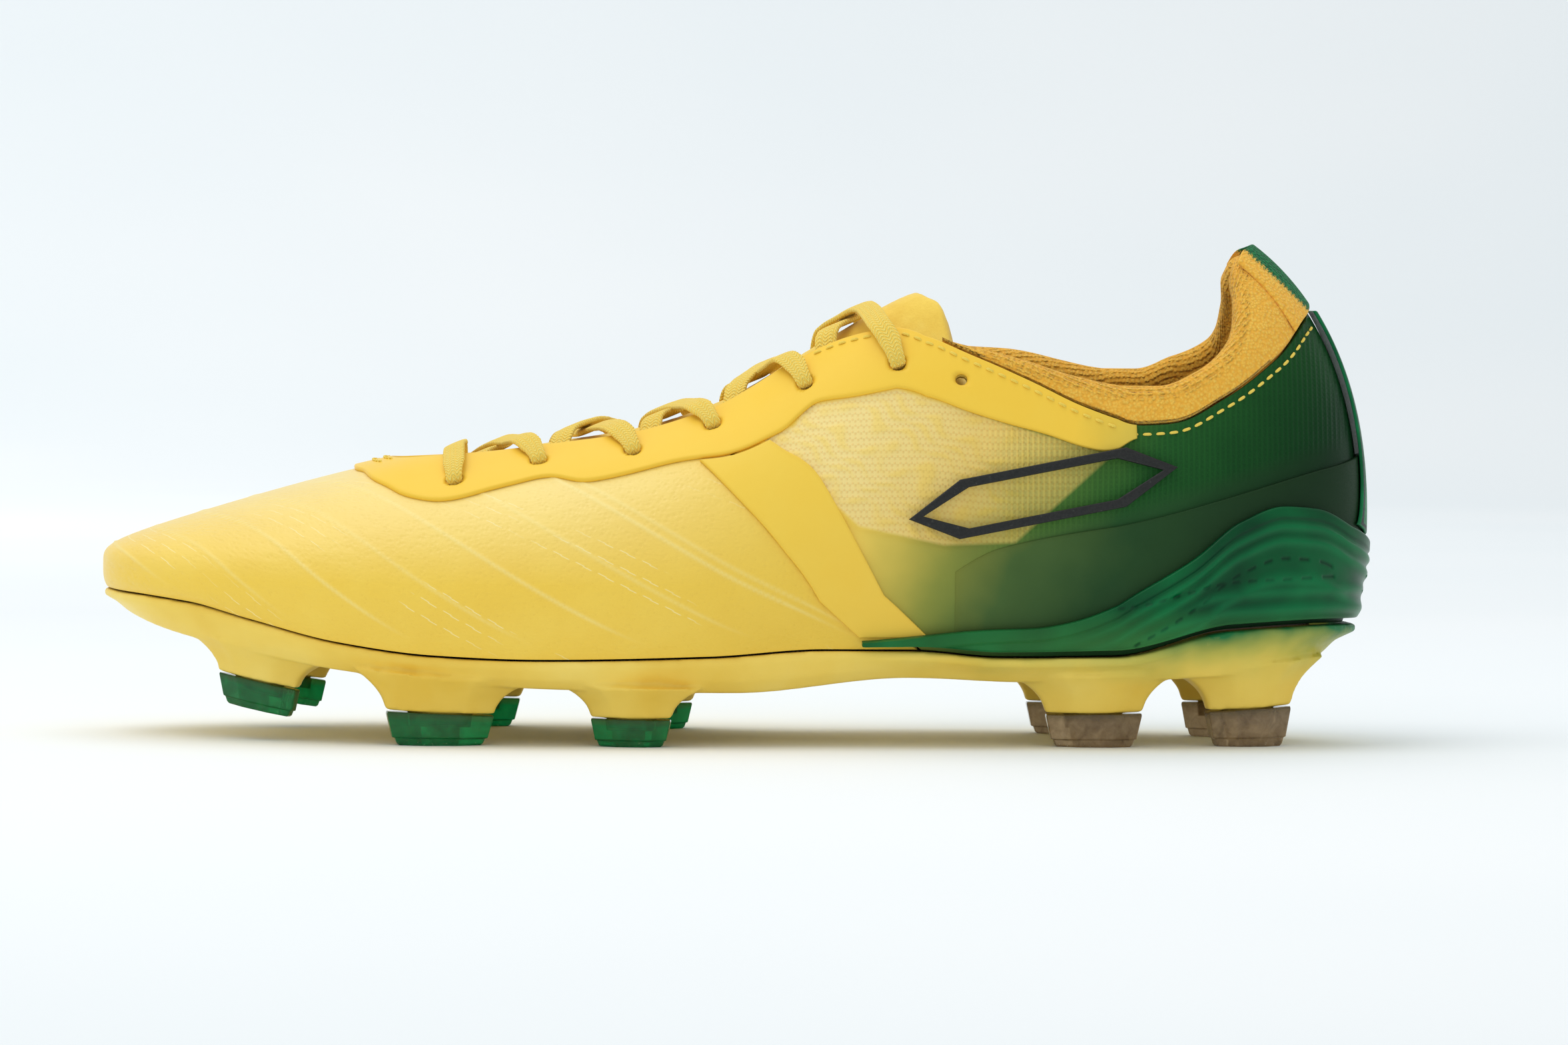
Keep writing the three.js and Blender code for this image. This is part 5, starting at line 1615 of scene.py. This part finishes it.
def stage_bowl():
    """Pale floor that turns up into a low backdrop all round, far from the object."""
    around = np.linspace(0, 2 * math.pi, 96, endpoint=False)
    profile = [(0.0, 0.0), (0.3, 0.0), (0.8, 0.0), (1.4, 0.0), (1.9, 0.0)]
    profile += [(1.9 + 1.4 * math.sin(t), 1.4 * (1 - math.cos(t))) for t in np.linspace(0.08, 1.25, 14)]
    rings = np.array([[(r * math.cos(a), r * math.sin(a), z) for a in around] for r, z in profile]) * 1000
    sh = Shader("plain backdrop")
    tone = sh.noise(sh.mm()[3], 0.002, 2)
    pale = sh.ramp(tone, [(0.3, srgb(243, 248, 250)), (0.7, srgb(248, 251, 252))])
    sh.set(Base_Color=pale, Roughness=0.9, Specular_IOR_Level=0.1)
    mesh = bpy.data.meshes.new("floor")
    faces = grid_faces(len(profile), 96, 0, False, True)[:, ::-1]
    mesh.from_pydata((rings.reshape(-1, 3) * MM).tolist(), [], faces.tolist())
    for polygon in mesh.polygons:
        polygon.use_smooth = True
    mesh.materials.append(sh.material)
    made = bpy.data.objects.new("floor", mesh)
    bpy.context.scene.collection.objects.link(made)


stage_bowl()


def area_light(name, place, target, size, power, colour):
    data = bpy.data.lights.new(name, "AREA")
    data.shape, data.size, data.energy, data.color = "DISK", size, power, colour
    made = bpy.data.objects.new(name, data)
    made.location = place
    way = Vector(target) - Vector(place)
    made.rotation_euler = way.to_track_quat("-Z", "Y").to_euler()
    bpy.context.scene.collection.objects.link(made)


area_light("key", (-0.55, -0.25, 1.3), (-0.03, 0, 0.03), 1.0, 5.4, (1, 0.98, 0.95))
area_light("top", (0.0, 0.45, 1.5), (0, 0, 0), 1.2, 4.6, (0.98, 0.985, 1))
area_light("wall", (-0.7, 1.3, 1.3), (-1.0, 3.0, 0.2), 1.6, 9.0, (0.98, 0.99, 1))

world = bpy.data.worlds.new("studio")
bpy.context.scene.world = world
world.use_nodes = True
backdrop = world.node_tree.nodes["Background"]
backdrop.inputs["Color"].default_value = (0.915, 0.94, 0.955, 1)
backdrop.inputs["Strength"].default_value = 0.75

SENSOR_MM, FOCAL_FRAMES, ROLL = 36.0, 9229.0 / 2353.0, math.radians(0.6)
AIM, STAND = Vector((0.0118, 0, 0.049)), Vector((-0.0412, -1.3982, 0.0957))
data = bpy.data.cameras.new("camera")
data.sensor_width = SENSOR_MM
data.lens = SENSOR_MM * FOCAL_FRAMES
data.clip_start, data.clip_end = 0.05, 20
camera = bpy.data.objects.new("camera", data)
bpy.context.scene.collection.objects.link(camera)
back = (STAND - AIM).normalized()
right = Vector((0, 0, 1)).cross(back).normalized()
upward = back.cross(right)
tilted_right = right * math.cos(ROLL) + upward * math.sin(ROLL)
tilted_up = upward * math.cos(ROLL) - right * math.sin(ROLL)
turn = Matrix((tilted_right, tilted_up, back)).transposed().to_4x4()
camera.matrix_world = Matrix.Translation(STAND) @ turn
bpy.context.scene.camera = camera
bpy.context.scene.view_settings.view_transform = "Standard"
